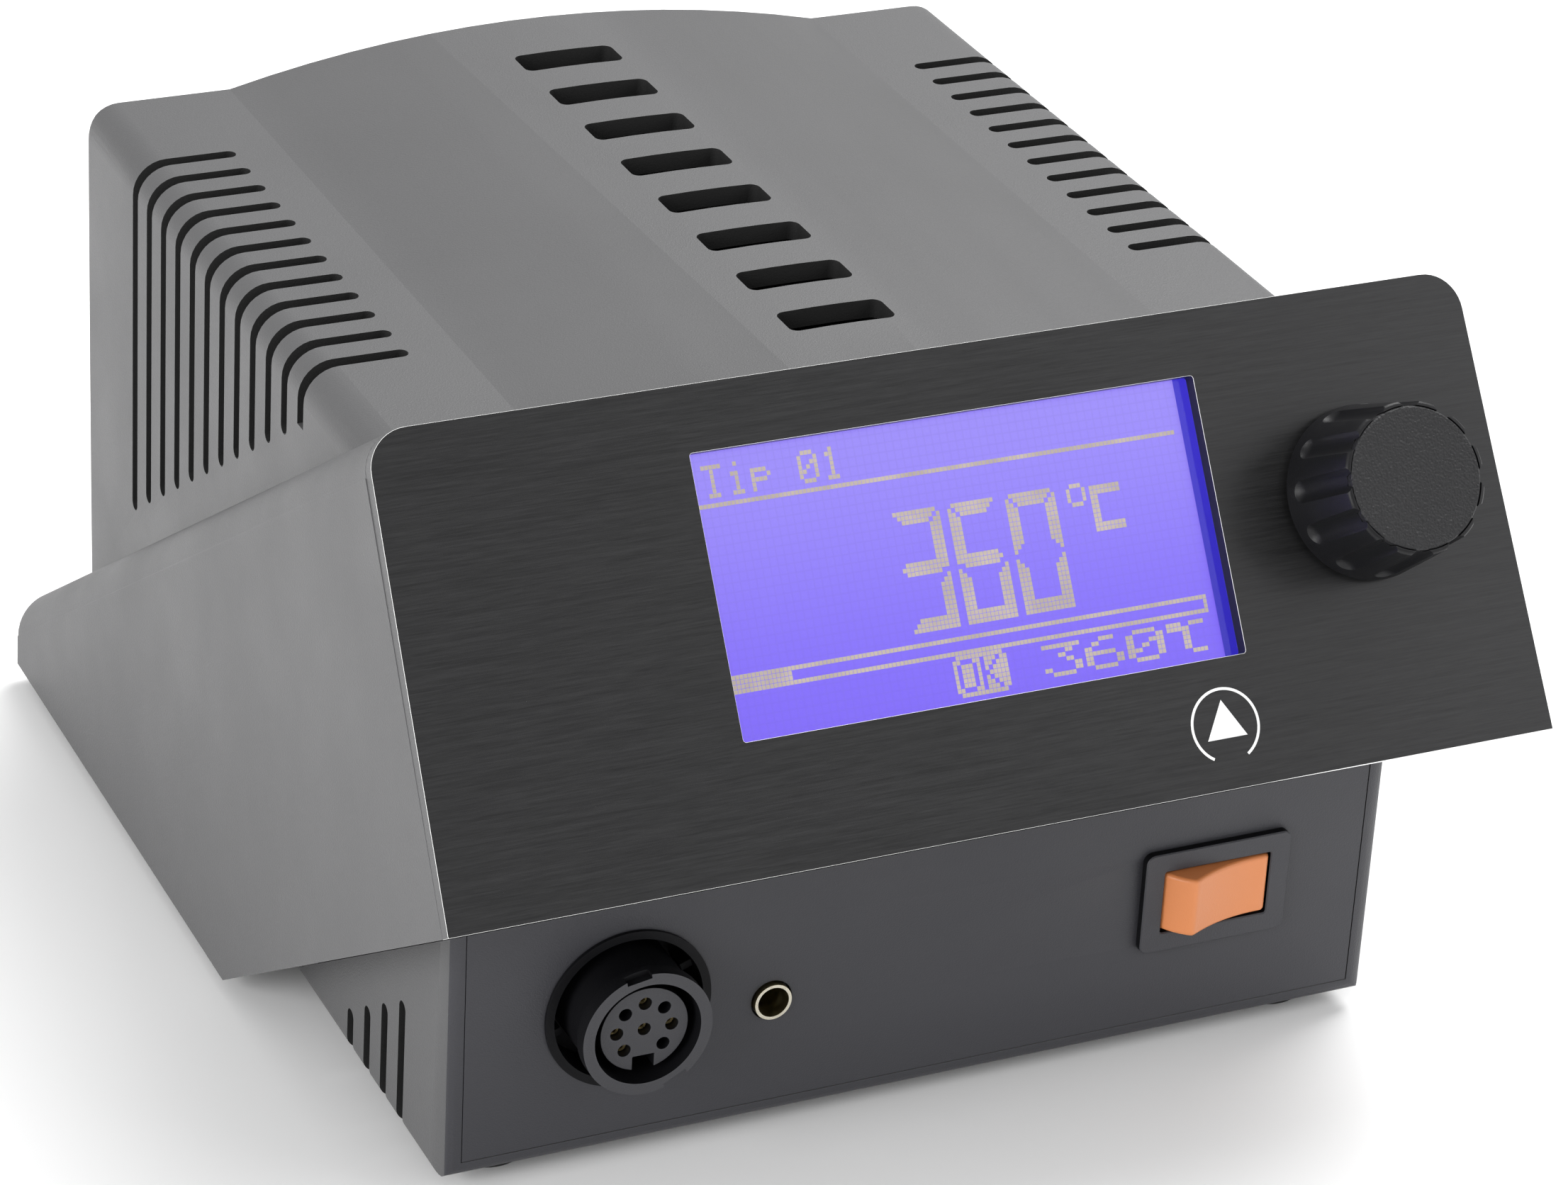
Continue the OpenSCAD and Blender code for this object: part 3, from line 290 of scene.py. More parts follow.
class Bench:
    """One material's node tree, with short calls to add and join its nodes."""

    def __init__(self, name: str, roughness: float, metallic: float = 0.0) -> None:
        """Starts a material that has one Principled shader.

        Args:
            name: Name of the material.
            roughness: Roughness where nothing is joined to it.
            metallic: Share of metal.
        """
        self.material = bpy.data.materials.new(name)
        self.material.use_nodes = True
        self.tree = self.material.node_tree
        self.shader = self.tree.nodes["Principled BSDF"]
        self.set("Roughness", roughness)
        self.set("Metallic", metallic)

    def set(self, socket: str, value: float | tuple[float, ...]) -> None:
        """Sets a constant on the shader's own socket."""
        self.shader.inputs[socket].default_value = value

    def add(self, kind: str, inputs: dict | None = None, **settings: object) -> bpy.types.Node:
        """Adds a node to the material; see add_node."""
        return add_node(self.tree, kind, inputs, **settings)

    def group(self, name: GroupName, **values: float) -> bpy.types.Node:
        """Places a shared group with this material's own values."""
        node = self.tree.nodes.new("ShaderNodeGroup")
        node.node_tree = shared_group(name)
        for key, value in values.items():
            node.inputs[key.replace("_", " ")].default_value = value
        return node

    def mix(self, share: bpy.types.NodeSocket | float, first: bpy.types.NodeSocket | Colour,
            second: bpy.types.NodeSocket | Colour) -> bpy.types.NodeSocket:
        """Mixes two colours.

        Args:
            share: Socket or number that says how much of the second colour there is.
            first: Colour or socket at share 0.
            second: Colour or socket at share 1.

        Returns:
            The mixed colour's socket.
        """
        node = self.tree.nodes.new("ShaderNodeMix")
        node.data_type = "RGBA"
        for index, value in ((0, share), (6, first), (7, second)):
            if isinstance(value, bpy.types.NodeSocket):
                self.tree.links.new(value, node.inputs[index])
            elif index == 0:
                node.inputs[index].default_value = value
            else:
                node.inputs[index].default_value = (*value, 1.0)
        return node.outputs[2]

    def span(self, value: bpy.types.NodeSocket, low: float, high: float) -> bpy.types.NodeSocket:
        """Spreads a 0 to 1 value between low and high."""
        node = self.add("ShaderNodeMapRange", {"Value": value, "To Min": low, "To Max": high})
        return node.outputs["Result"]

    def join(self, source: bpy.types.NodeSocket, socket: str) -> None:
        """Joins a socket to one of the shader's inputs."""
        self.tree.links.new(source, self.shader.inputs[socket])

    def bump(self, height: bpy.types.NodeSocket, depth: float) -> None:
        """Gives the surface a relief.

        Args:
            height: Socket with the height, about 0 to 1.
            depth: Depth of the relief, in metres.
        """
        node = self.add("ShaderNodeBump", {"Height": height, "Distance": depth, "Strength": 1.0})
        self.join(node.outputs["Normal"], "Normal")


# ------------------------------------------------------------------ finishes

def shade(colour: Colour, factor: float) -> Colour:
    """Makes a colour lighter or darker by a factor."""
    return tuple(min(1.0, channel * factor) for channel in colour)


@dataclass(frozen=True)
class Finish:
    """What every finish has: its name, colour and roughness.

    Attributes:
        ROUGHNESS_SPREAD: How far its kind's roughness falls below its value and rises above it.
    """

    name: str
    colour: Colour
    roughness: float
    ROUGHNESS_SPREAD: ClassVar[tuple[float, float]] = (0.0, 0.0)

    def build(self) -> bpy.types.Material:
        """Builds the material; each kind of finish has its own way."""
        raise NotImplementedError

    def vary_roughness(self, bench: Bench, mask: bpy.types.NodeSocket) -> None:
        """Spreads the roughness with a 0 to 1 mask.

        Args:
            bench: The material's bench.
            mask: Socket with the mask.
        """
        below, above = self.ROUGHNESS_SPREAD
        bench.join(bench.span(mask, self.roughness - below, self.roughness + above), "Roughness")


@lru_cache(maxsize=None)
def material_of(finish: Finish) -> bpy.types.Material:
    """Gives a finish's material, built the first time that it is asked for."""
    return finish.build()


@dataclass(frozen=True)
class MouldedPlastic(Finish):
    """Injection-moulded plastic with a spark-eroded grain.

    Attributes:
        grain_scale: Peaks of the grain per metre.
        grain_depth: Depth of the grain, in metres.
        mottle: How uneven the tone is, as a share.
        edge_highlight: How much the painted highlight lightens the edges, as a share.
        dust: How much dust lies on upward faces, as a share.
        specular: Strength of the plain sheen.
    """

    ROUGHNESS_SPREAD = (0.04, 0.05)
    EDGE_HIGHLIGHT_FACTOR: ClassVar[float] = 2.2
    DUST_COLOUR: ClassVar[Colour] = (0.45, 0.44, 0.42)

    grain_scale: float = 5200.0
    grain_depth: float = 0.00003
    mottle: float = 0.06
    edge_highlight: float = 0.0
    dust: float = 0.0
    specular: float = 0.5

    def build(self) -> bpy.types.Material:
        """Builds the plastic's material."""
        bench = Bench(self.name, self.roughness)
        bench.set("Specular IOR Level", self.specular)
        grain = bench.group(GroupName.GRAIN, Scale=self.grain_scale)
        tone = bench.mix(grain.outputs["Mottle"], shade(self.colour, 1 - self.mottle),
                         shade(self.colour, 1 + self.mottle))
        # Painted highlight: the edges are lightened in the colour itself.
        if self.edge_highlight:
            highlit = bench.group(GroupName.EDGE_HIGHLIGHT)
            amount = bench.span(highlit.outputs["Mask"], 0.0, self.edge_highlight)
            tone = bench.mix(amount, tone, shade(self.colour, self.EDGE_HIGHLIGHT_FACTOR))
        if self.dust:
            dusty = bench.group(GroupName.DUST)
            amount = bench.span(dusty.outputs["Mask"], 0.0, self.dust)
            tone = bench.mix(amount, tone, self.DUST_COLOUR)
        bench.join(tone, "Base Color")
        self.vary_roughness(bench, grain.outputs["Mottle"])
        bench.bump(grain.outputs["Height"], self.grain_depth)
        return bench.material


@dataclass(frozen=True)
class BrushedMetal(Finish):
    """Metal sheet with fine lines along it, bare or dyed by anodising.

    Attributes:
        metallic: Share of metal in the look.
        lean: Angle that the sheet leans back by, in radians.
        contrast: How strongly the lines change the tone.
        line_depth: Depth of the lines, in metres.
        line_length_scale: Lines per metre of their length, so more makes them shorter.
    """

    ROUGHNESS_SPREAD = (0.05, 0.08)

    metallic: float = 1.0
    lean: float = 0.0
    contrast: float = 0.25
    line_depth: float = 0.000008
    line_length_scale: float = 60.0

    def build(self) -> bpy.types.Material:
        """Builds the metal's material."""
        bench = Bench(self.name, self.roughness, self.metallic)
        lines = bench.group(GroupName.BRUSHED, Lean=self.lean, Along_Scale=self.line_length_scale)
        tone = bench.mix(lines.outputs["Streak"], shade(self.colour, 1 - self.contrast),
                         shade(self.colour, 1 + self.contrast))
        bench.join(tone, "Base Color")
        self.vary_roughness(bench, lines.outputs["Streak"])
        bench.bump(lines.outputs["Height"], self.line_depth)
        return bench.material


@dataclass(frozen=True)
class PlainMetal(Finish):
    """Turned, plated or stamped metal with faint tool marks and tarnish.

    Attributes:
        tarnish: Colour of the dulled patches.
        tarnish_share: How much of the surface is dulled.
        mark_scale: Tool marks per metre.
        patch_scale: Dulled patches per metre.
        mark_depth: Depth of the tool marks, in metres.
    """

    ROUGHNESS_SPREAD = (0.06, 0.12)

    tarnish: Colour = (0.3, 0.27, 0.2)
    tarnish_share: float = 0.25
    mark_scale: float = 2600.0
    patch_scale: float = 600.0
    mark_depth: float = 0.000006

    def build(self) -> bpy.types.Material:
        """Builds the metal's material."""
        bench = Bench(self.name, self.roughness, 1.0)
        marks = bench.group(GroupName.GRAIN, Scale=self.mark_scale, Mottle_Scale=self.patch_scale)
        dulled = bench.span(marks.outputs["Mottle"], 0.0, self.tarnish_share)
        bench.join(bench.mix(dulled, self.colour, self.tarnish), "Base Color")
        self.vary_roughness(bench, marks.outputs["Mottle"])
        bench.bump(marks.outputs["Height"], self.mark_depth)
        return bench.material


@dataclass(frozen=True)
class CircuitBoard(Finish):
    """Solder-masked board: tracks under a green lacquer.

    Attributes:
        cells_per_metre: How many cells of bare board lie between the tracks, per metre.
        track_height: Height of the tracks, in metres.
        lacquer: Share of the clear lacquer.
        lacquer_roughness: Roughness of the lacquer.
    """

    TRACK_FACTOR: ClassVar[float] = 1.9

    cells_per_metre: float = 420.0
    track_height: float = 0.00004
    lacquer: float = 0.6
    lacquer_roughness: float = 0.15

    def build(self) -> bpy.types.Material:
        """Builds the board's material."""
        bench = Bench(self.name, self.roughness)
        place = bench.add("ShaderNodeTexCoord").outputs["Object"]
        cells = bench.add("ShaderNodeTexVoronoi", {"Vector": place, "Scale": self.cells_per_metre},
                          distance="CHEBYCHEV", feature="DISTANCE_TO_EDGE")
        track = bench.add("ShaderNodeMapRange",
                          {"Value": cells.outputs["Distance"], "From Min": 0.05, "From Max": 0.09})
        tone = bench.mix(track.outputs["Result"], shade(self.colour, self.TRACK_FACTOR), self.colour)
        bench.join(tone, "Base Color")
        bench.set("Coat Weight", self.lacquer)
        bench.set("Coat Roughness", self.lacquer_roughness)
        bench.bump(track.outputs["Result"], self.track_height)
        return bench.material


@dataclass(frozen=True)
class WoundWire(Finish):
    """Layers of enamelled wire, wound round an upright bobbin.

    Attributes:
        wires_per_metre: How close the wires lie.
        wire_depth: Depth of the grooves between them, in metres.
        metallic: Share of metal in the look.
    """

    GROOVE_SHADE_FACTOR: ClassVar[float] = 0.35

    wires_per_metre: float = 1500.0
    wire_depth: float = 0.0003
    metallic: float = 0.7

    def build(self) -> bpy.types.Material:
        """Builds the winding's material."""
        bench = Bench(self.name, self.roughness, self.metallic)
        place = bench.add("ShaderNodeTexCoord").outputs["Object"]
        wires = bench.add("ShaderNodeTexWave",
                          {"Vector": place, "Scale": self.wires_per_metre / math.tau,
                           "Distortion": 0.4, "Detail": 1.0}, bands_direction="Z")
        # Painted shade: the grooves between the wires are darker in the colour.
        groove_shade = shade(self.colour, self.GROOVE_SHADE_FACTOR)
        bench.join(bench.mix(wires.outputs["Fac"], groove_shade, self.colour), "Base Color")
        bench.bump(wires.outputs["Fac"], self.wire_depth)
        return bench.material


@dataclass(frozen=True)
class StackedSheets(Finish):
    """Edges of stamped core sheets, stacked along Y.

    Attributes:
        sheets_per_metre: How close the sheets lie.
        sheet_depth: Depth of the gaps between them, in metres.
        metallic: Share of metal in the look.
    """

    GAP_FACTOR: ClassVar[float] = 0.5
    RUST_COLOUR: ClassVar[Colour] = (0.12, 0.07, 0.04)

    sheets_per_metre: float = 2000.0
    sheet_depth: float = 0.0001
    metallic: float = 0.6

    def build(self) -> bpy.types.Material:
        """Builds the core's material."""
        bench = Bench(self.name, self.roughness, self.metallic)
        place = bench.add("ShaderNodeTexCoord").outputs["Object"]
        sheets = bench.add("ShaderNodeTexWave",
                           {"Vector": place, "Scale": self.sheets_per_metre / math.tau,
                            "Distortion": 0.2}, bands_direction="Y")
        rust = bench.add("ShaderNodeTexNoise", {"Vector": place, "Scale": 300.0, "Detail": 5.0})
        grey = bench.mix(sheets.outputs["Fac"], shade(self.colour, self.GAP_FACTOR), self.colour)
        spots = bench.add("ShaderNodeMapRange",
                          {"Value": rust.outputs["Fac"], "From Min": 0.6, "From Max": 0.75})
        bench.join(bench.mix(spots.outputs["Result"], grey, self.RUST_COLOUR), "Base Color")
        bench.bump(sheets.outputs["Fac"], self.sheet_depth)
        return bench.material


@dataclass(frozen=True)
class ClearAcrylic(Finish):
    """The clear window over the display, with faint wipe marks."""

    ROUGHNESS_SPREAD = (0.0, 0.03)
    REFRACTIVE_INDEX: ClassVar[float] = 1.49

    def build(self) -> bpy.types.Material:
        """Builds the window's material."""
        bench = Bench(self.name, self.roughness)
        bench.set("Base Color", (*self.colour, 1.0))
        bench.set("Transmission Weight", 1.0)
        bench.set("IOR", self.REFRACTIVE_INDEX)
        wipes = bench.group(GroupName.BRUSHED, Lean=LEAN, Along_Scale=90.0, Across_Scale=700.0)
        self.vary_roughness(bench, wipes.outputs["Streak"])
        return bench.material


@dataclass(frozen=True)
class LitDisplay(Finish):
    """A back-lit dot-matrix layer, whose glow grows paler towards the top.

    Attributes:
        strength: Brightness of the glow.
        foot_colour: Colour along the lower edge.
        heights: Where the colour starts to change and where it ends, up the panel, in metres.
        column: Width of a dot's cell, in metres.
        row: Height of a dot's cell, in metres.
        grid: How dark the gaps between the dots are, as a share.
    """

    GAP_SHARE: ClassVar[float] = 0.25
    GAP_FACTOR: ClassVar[float] = 0.5
    UNLIT_COLOUR: ClassVar[Colour] = (0.02, 0.02, 0.06)

    strength: float = 1.0
    foot_colour: Colour = (0.1, 0.08, 0.8)
    heights: tuple[float, float] = (0.016, 0.052)
    column: float = 0.000508
    row: float = 0.00056
    grid: float = 0.12

    def build(self) -> bpy.types.Material:
        """Builds the glowing layer's material."""
        bench = Bench(self.name, self.roughness)
        place = bench.add("ShaderNodeTexCoord").outputs["Object"]
        level = bench.add("ShaderNodeMapping", {"Vector": place, "Rotation": (LEAN, 0.0, 0.0)})
        parts = bench.add("ShaderNodeSeparateXYZ", {0: level.outputs[0]})
        lines = []
        for axis, pitch in (("X", self.column), ("Z", self.row)):
            cell = bench.add("ShaderNodeMath", {0: parts.outputs[axis], 1: pitch}, operation="PINGPONG")
            line = bench.add("ShaderNodeMapRange",
                             {"Value": cell.outputs[0], "From Max": pitch * self.GAP_SHARE})
            lines.append(line.outputs["Result"])
        dots = bench.add("ShaderNodeMath", {0: lines[0], 1: lines[1]}, operation="MULTIPLY")
        start, end = (PANEL.origin.dot(PANEL.up) + height for height in self.heights)
        rise = bench.add("ShaderNodeMapRange",
                         {"Value": parts.outputs["Z"], "From Min": start, "From Max": end},
                         interpolation_type="SMOOTHSTEP")
        tone = bench.mix(rise.outputs["Result"], self.foot_colour, self.colour)
        cover = bench.span(dots.outputs[0], 1.0 - self.grid, 1.0)
        lit = bench.mix(cover, shade(self.foot_colour, self.GAP_FACTOR), tone)
        bench.set("Base Color", (*self.UNLIT_COLOUR, 1.0))
        bench.join(lit, "Emission Color")
        bench.set("Emission Strength", self.strength)
        return bench.material


@dataclass(frozen=True)
class DisplayDots(Finish):
    """The display's switched dots, which let the lamp's warm light through.

    Attributes:
        strength: Brightness of the dots.
        tones: Factors of the darkest and lightest patches.
    """

    UNLIT_FACTOR: ClassVar[float] = 0.3

    strength: float = 1.0
    tones: tuple[float, float] = (0.86, 1.12)

    def build(self) -> bpy.types.Material:
        """Builds the dots' material."""
        bench = Bench(self.name, self.roughness)
        grain = bench.group(GroupName.GRAIN, Scale=3000.0, Mottle_Scale=180.0)
        darkest, lightest = (shade(self.colour, factor) for factor in self.tones)
        tone = bench.mix(grain.outputs["Mottle"], darkest, lightest)
        bench.set("Base Color", (*shade(self.colour, self.UNLIT_FACTOR), 1.0))
        bench.join(tone, "Emission Color")
        bench.set("Emission Strength", self.strength)
        return bench.material


GREY_SHELL = MouldedPlastic("grey_shell", (0.086, 0.086, 0.088), 0.5, mottle=0.025, edge_highlight=0.15)
GREY_TRAY = MouldedPlastic("grey_tray", (0.088, 0.088, 0.09), 0.5, mottle=0.025, edge_highlight=0.12)
# Near-black painted shade for inner walls, such as slot walls, which are moulded in the same grey as the
# shell.
PAINTED_SHADE_INSIDE = MouldedPlastic("painted_shade_inside", (0.006, 0.006, 0.006), 0.8, mottle=0.02)
# The lower front's grey, darkened to paint the shade on faces that look forward, away from the lamps.
FRONT_PAINTED_SHADE = MouldedPlastic("front_painted_shade", (0.032, 0.032, 0.038), 0.5, mottle=0.02)
BLACK_SATIN = MouldedPlastic("black_satin", (0.006, 0.006, 0.007), 0.42, grain_depth=0.000012, edge_highlight=0.5,
                             specular=0.28)
BLACK_MATT = MouldedPlastic("black_matt", (0.016, 0.016, 0.017), 0.6, grain_scale=3600.0, grain_depth=0.00005)
CAP_TEXTURE = MouldedPlastic("cap_texture", (0.0095, 0.0095, 0.0108), 0.5, grain_scale=3400.0,
                             grain_depth=0.00014, mottle=0.02, edge_highlight=0.8, specular=0.4)
SOCKET_GREY = MouldedPlastic("socket_grey", (0.034, 0.034, 0.039), 0.5, mottle=0.02, edge_highlight=0.25)
SOCKET_BLACK = MouldedPlastic("socket_black", (0.005, 0.005, 0.006), 0.5, grain_depth=0.00001, edge_highlight=0.2,
                              specular=0.14)
ROCKER_ORANGE = MouldedPlastic("rocker_orange", (0.68, 0.235, 0.08), 0.4, grain_depth=0.000015, mottle=0.02)
RUBBER = MouldedPlastic("rubber", (0.013, 0.013, 0.013), 0.85, grain_scale=2400.0, grain_depth=0.00006,
                        dust=0.1)
PANEL_BLACK = BrushedMetal("panel_black", (0.034, 0.034, 0.035), 0.33, metallic=0.7, lean=LEAN,
                           contrast=0.2, line_depth=0.000006, line_length_scale=190.0)
BARE_EDGE = BrushedMetal("bare_edge", (0.93, 0.93, 0.92), 0.4, metallic=0.15, lean=LEAN, contrast=0.05)
STEEL_SHEET = BrushedMetal("steel_sheet", (0.52, 0.53, 0.55), 0.35)
HEATSINK_METAL = BrushedMetal("heatsink_metal", (0.55, 0.56, 0.58), 0.4)
# Brass of the jack's bore, darkened to paint the shade inside it.
BRASS_WITH_PAINTED_SHADE = PlainMetal("brass_with_painted_shade", (0.42, 0.36, 0.19), 0.35, tarnish=(0.2, 0.16, 0.08))
NICKEL = PlainMetal("nickel", (0.78, 0.74, 0.62), 0.2, tarnish=(0.42, 0.36, 0.22))
BRASS = PlainMetal("brass", (0.83, 0.66, 0.30), 0.28)
STEEL = PlainMetal("steel", (0.62, 0.62, 0.63), 0.32)
BOARD_GREEN = CircuitBoard("board_green", (0.012, 0.11, 0.045), 0.4)
COPPER_WIRE = WoundWire("copper_wire", (0.72, 0.30, 0.08), 0.35)
CORE_IRON = StackedSheets("core_iron", (0.33, 0.34, 0.36), 0.5)
WINDOW_CLEAR = ClearAcrylic("window_clear", (0.97, 0.97, 0.99), 0.03)
BORDER_BLUE = LitDisplay("border_blue", (0.045, 0.03, 0.62), 0.3, foot_colour=(0.03, 0.02, 0.5), grid=0.0)
GLOW_VIOLET = LitDisplay("glow_violet", (0.31, 0.237, 0.94), 0.3, foot_colour=(0.18, 0.1, 0.93))
DOT_TAN = DisplayDots("dot_tan", (0.47, 0.405, 0.32), 0.4)
PRINT_WHITE = MouldedPlastic("print_white", (0.82, 0.82, 0.82), 0.5, grain_depth=0.000005, mottle=0.02)
LEAD_BROWN = MouldedPlastic("lead_brown", (0.16, 0.07, 0.03), 0.45)
LEAD_GREEN = MouldedPlastic("lead_green", (0.25, 0.42, 0.04), 0.45)
LEAD_RED = MouldedPlastic("lead_red", (0.5, 0.02, 0.02), 0.45)
RIBBON_GREY = MouldedPlastic("ribbon_grey", (0.35, 0.35, 0.36), 0.5)
CLAMP_GREEN = MouldedPlastic("clamp_green", (0.03, 0.25, 0.07), 0.45)
FUSE_GLASS = PlainMetal("fuse_glass", (0.7, 0.7, 0.7), 0.15)


# ------------------------------------------------------------------ meshes

@dataclass(frozen=True)
class BrokenEdge:
    """How a piece's sharp edges are broken.

    Attributes:
        width: Width of the break, in metres.
        segments: Faces across the break: 1 is a chamfer, more is a round.
        bright: Whether the break has the second finish of the piece.
        clamp: Whether short faces beside an edge may narrow its break.
    """

    width: float
    segments: int = 2
    bright: bool = False
    clamp: bool = True


SHARP_ANGLE = math.radians(32)
FLAT_ANGLE = math.radians(0.6)


def link_piece(name: str, mesh: bpy.types.Mesh, finishes: tuple[Finish, ...]) -> bpy.types.Object:
    """Puts a mesh into the scene as a piece.

    Args:
        name: Name of the piece.
        mesh: Its mesh, in the station's frame.
        finishes: Its finishes, in the order of the mesh's material numbers.

    Returns:
        The new object.
    """
    for finish in finishes:
        mesh.materials.append(material_of(finish))
    piece = bpy.data.objects.new(name, mesh)
    bpy.context.scene.collection.objects.link(piece)
    return piece


def stand_in(piece: bpy.types.Object, node: str) -> None:
    """Makes a piece ride with and replace a node.

    Args:
        piece: The finished piece.
        node: Name of the node that it stands for.
    """
    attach(piece, frame["nodes"][node]["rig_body"])
    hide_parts(node)
    LOG.info("%s stands for %s", piece.name, node)


# How far a face's normal has to point a given way, as a cosine, to belong to that side.
# Forward faces of the tray past these limits take the front's painted shade.
TRAY_SHADE_LEFT = 0.8
TRAY_SHADE_RIGHT = 0.3
PANEL_EDGE = 0.5
FORWARD = 0.7
RAY_LIFT = 5 * WELD


def looks_inward(centre: Vector, normal: Vector, tree: BVHTree) -> int:
    """Gives 1 to a face that looks at another face of its own piece, such as a slot's wall."""
    return 0 if tree.ray_cast(centre + normal * RAY_LIFT, normal)[0] is None else 1


def tray_zone(centre: Vector, normal: Vector, tree: BVHTree) -> int:
    """Gives 1 to an inward face of the tray, which takes the painted shade inside, and 2 to the forward
    strips and the corner round the fascia, which take the front's painted shade.
    """
    if looks_inward(centre, normal, tree):
        return 1
    limit = TRAY_SHADE_LEFT if normal.x < 0 else TRAY_SHADE_RIGHT
    return 2 if normal.y < -limit else 0


def panel_zone(centre: Vector, normal: Vector, tree: BVHTree) -> int:
    """Gives 2 to the panel's outer edges, which take the shell's grey, and 0 to all else."""
    edge = abs(normal.dot(PANEL.out)) < PANEL_EDGE
    return 2 if edge and not looks_inward(centre, normal, tree) else 0


def front_zone(node: str, reach: float) -> Zone:
    """Makes a test for the foremost faces of a node.

    Args:
        node: Name of the node.
        reach: How far behind the node's front a foremost face may lie, in metres.

    Returns:
        A test that gives 0 to a foremost face that looks forward, and 1 to all others.
    """
    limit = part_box(node)[0].y + reach

    def zone(centre: Vector, normal: Vector, tree: BVHTree) -> int:
        """Tests one face."""
        return 0 if normal.y < -FORWARD and centre.y < limit else 1

    return zone


def machined_mesh(node: str, name: str, zone: Zone | None = None) -> bpy.types.Mesh:
    """Makes a clean mesh of a node: welded, with its flat faces whole.

    Args:
        node: Name of the node.
        name: Name of the new mesh.
        zone: Test that gives each face its material number, if the piece has several.

    Returns:
        The new mesh, without materials.
    """
    work = bmesh.new()
    work.from_mesh(frame["nodes"][node].data)
    bmesh.ops.remove_doubles(work, verts=work.verts, dist=WELD)
    tree = BVHTree.FromBMesh(work)
    for face in work.faces:
        face.smooth = True
        face.material_index = zone(face.calc_center_median(), face.normal, tree) if zone else 0
    bmesh.ops.dissolve_limit(work, angle_limit=FLAT_ANGLE, verts=work.verts, edges=work.edges,
                             delimit={"MATERIAL"})
    mesh = bpy.data.meshes.new(name)
    work.to_mesh(mesh)
    work.free()
    mesh.set_sharp_from_angle(angle=SHARP_ANGLE)
    return mesh


def finish_node(node: str, name: str, edge: BrokenEdge, *finishes: Finish, zone: Zone | None = None) -> None:
    """Builds the finished piece of a node, with broken edges.

    Args:
        node: Name of the node that the piece stands for.
        name: Name of the piece.
        edge: How its sharp edges are broken.
        finishes: Its finish, and that of its bright edges or other zones if it has them.
        zone: Test that gives each face the number of its finish.
    """
    piece = link_piece(name, machined_mesh(node, name, zone), finishes)
    bevel = piece.modifiers.new("broken_edges", "BEVEL")
    bevel.width = edge.width
    bevel.segments = edge.segments
    bevel.limit_method = "ANGLE"
    bevel.angle_limit = SHARP_ANGLE
    bevel.harden_normals = True
    bevel.use_clamp_overlap = edge.clamp
    bevel.miter_outer = "MITER_ARC"
    if edge.bright:
        bevel.material = 1
    stand_in(piece, node)


def dress_node(node: str, finish: Finish) -> None:
    """Gives a node that keeps its own shape its finish."""
    mesh = frame["nodes"][node].data
    mesh.materials.clear()
    mesh.materials.append(material_of(finish))


def plate_mesh(work: bmesh.types.BMesh, corners: Outline, out: tuple[float, float]) -> None:
    """Adds a thin closed plate with a given outline to a mesh, on the control panel.

    Args:
        work: The mesh that gets the plate.
        corners: The outline, anticlockwise, in metres along and up the panel.
        out: Lowest and highest distance out of the panel.
    """
    lower = [work.verts.new(PANEL.at(x, y, out[0])) for x, y in corners]
    upper = [work.verts.new(PANEL.at(x, y, out[1])) for x, y in corners]
    work.faces.new(upper)
    work.faces.new(lower[::-1])
    count = len(corners)
    for i in range(count):
        j = (i + 1) % count
        work.faces.new((lower[i], lower[j], upper[j], upper[i]))


def box_outline(left: float, bottom: float, right: float, top: float) -> Outline:
    """Gives the outline of a rectangle, anticlockwise."""
    return [(left, bottom), (right, bottom), (right, top), (left, top)]


def round_outline(half_w: float, half_h: float, radius: float, steps: int = 8) -> Outline:
    """Gives the outline of a rectangle with round corners, anticlockwise.

    Args:
        half_w: Half its width, in metres.
        half_h: Half its height, in metres.
        radius: Radius of its corners, in metres.
        steps: How many edges each corner has.

    Returns:
        The outline's points.
    """
    points = []
    for quarter, (side, rise) in enumerate(((1, 1), (-1, 1), (-1, -1), (1, -1))):
        for i in range(steps + 1):
            angle = math.radians(90 * (quarter + i / steps))
            points.append((side * (half_w - radius) + radius * math.cos(angle),
                           rise * (half_h - radius) + radius * math.sin(angle)))
    return points


def band_mesh(work: bmesh.types.BMesh, face: Face, loops: list[tuple[Outline, float]]) -> None:
    """Adds a closed band that joins outlines with the same number of points, the last to the first.

    Args:
        work: The mesh that gets the band.
        face: The face that the outlines are measured on.
        loops: Each outline, with its distance out of the face.
    """
    rings = [[work.verts.new(face.at(x, y, out)) for x, y in outline] for outline, out in loops]
    count = len(rings[0])
    for ring, following in zip(rings, rings[1:] + rings[:1]):
        for i in range(count):
            j = (i + 1) % count
            work.faces.new((ring[i], ring[j], following[j], following[i])).smooth = True


def mesh_from(work: bmesh.types.BMesh, name: str) -> bpy.types.Mesh:
    """Turns working geometry into a mesh with outward faces."""
    bmesh.ops.recalc_face_normals(work, faces=work.faces)
    mesh = bpy.data.meshes.new(name)
    work.to_mesh(mesh)
    work.free()
    return mesh


# ------------------------------------------------------------------ sub-assemblies

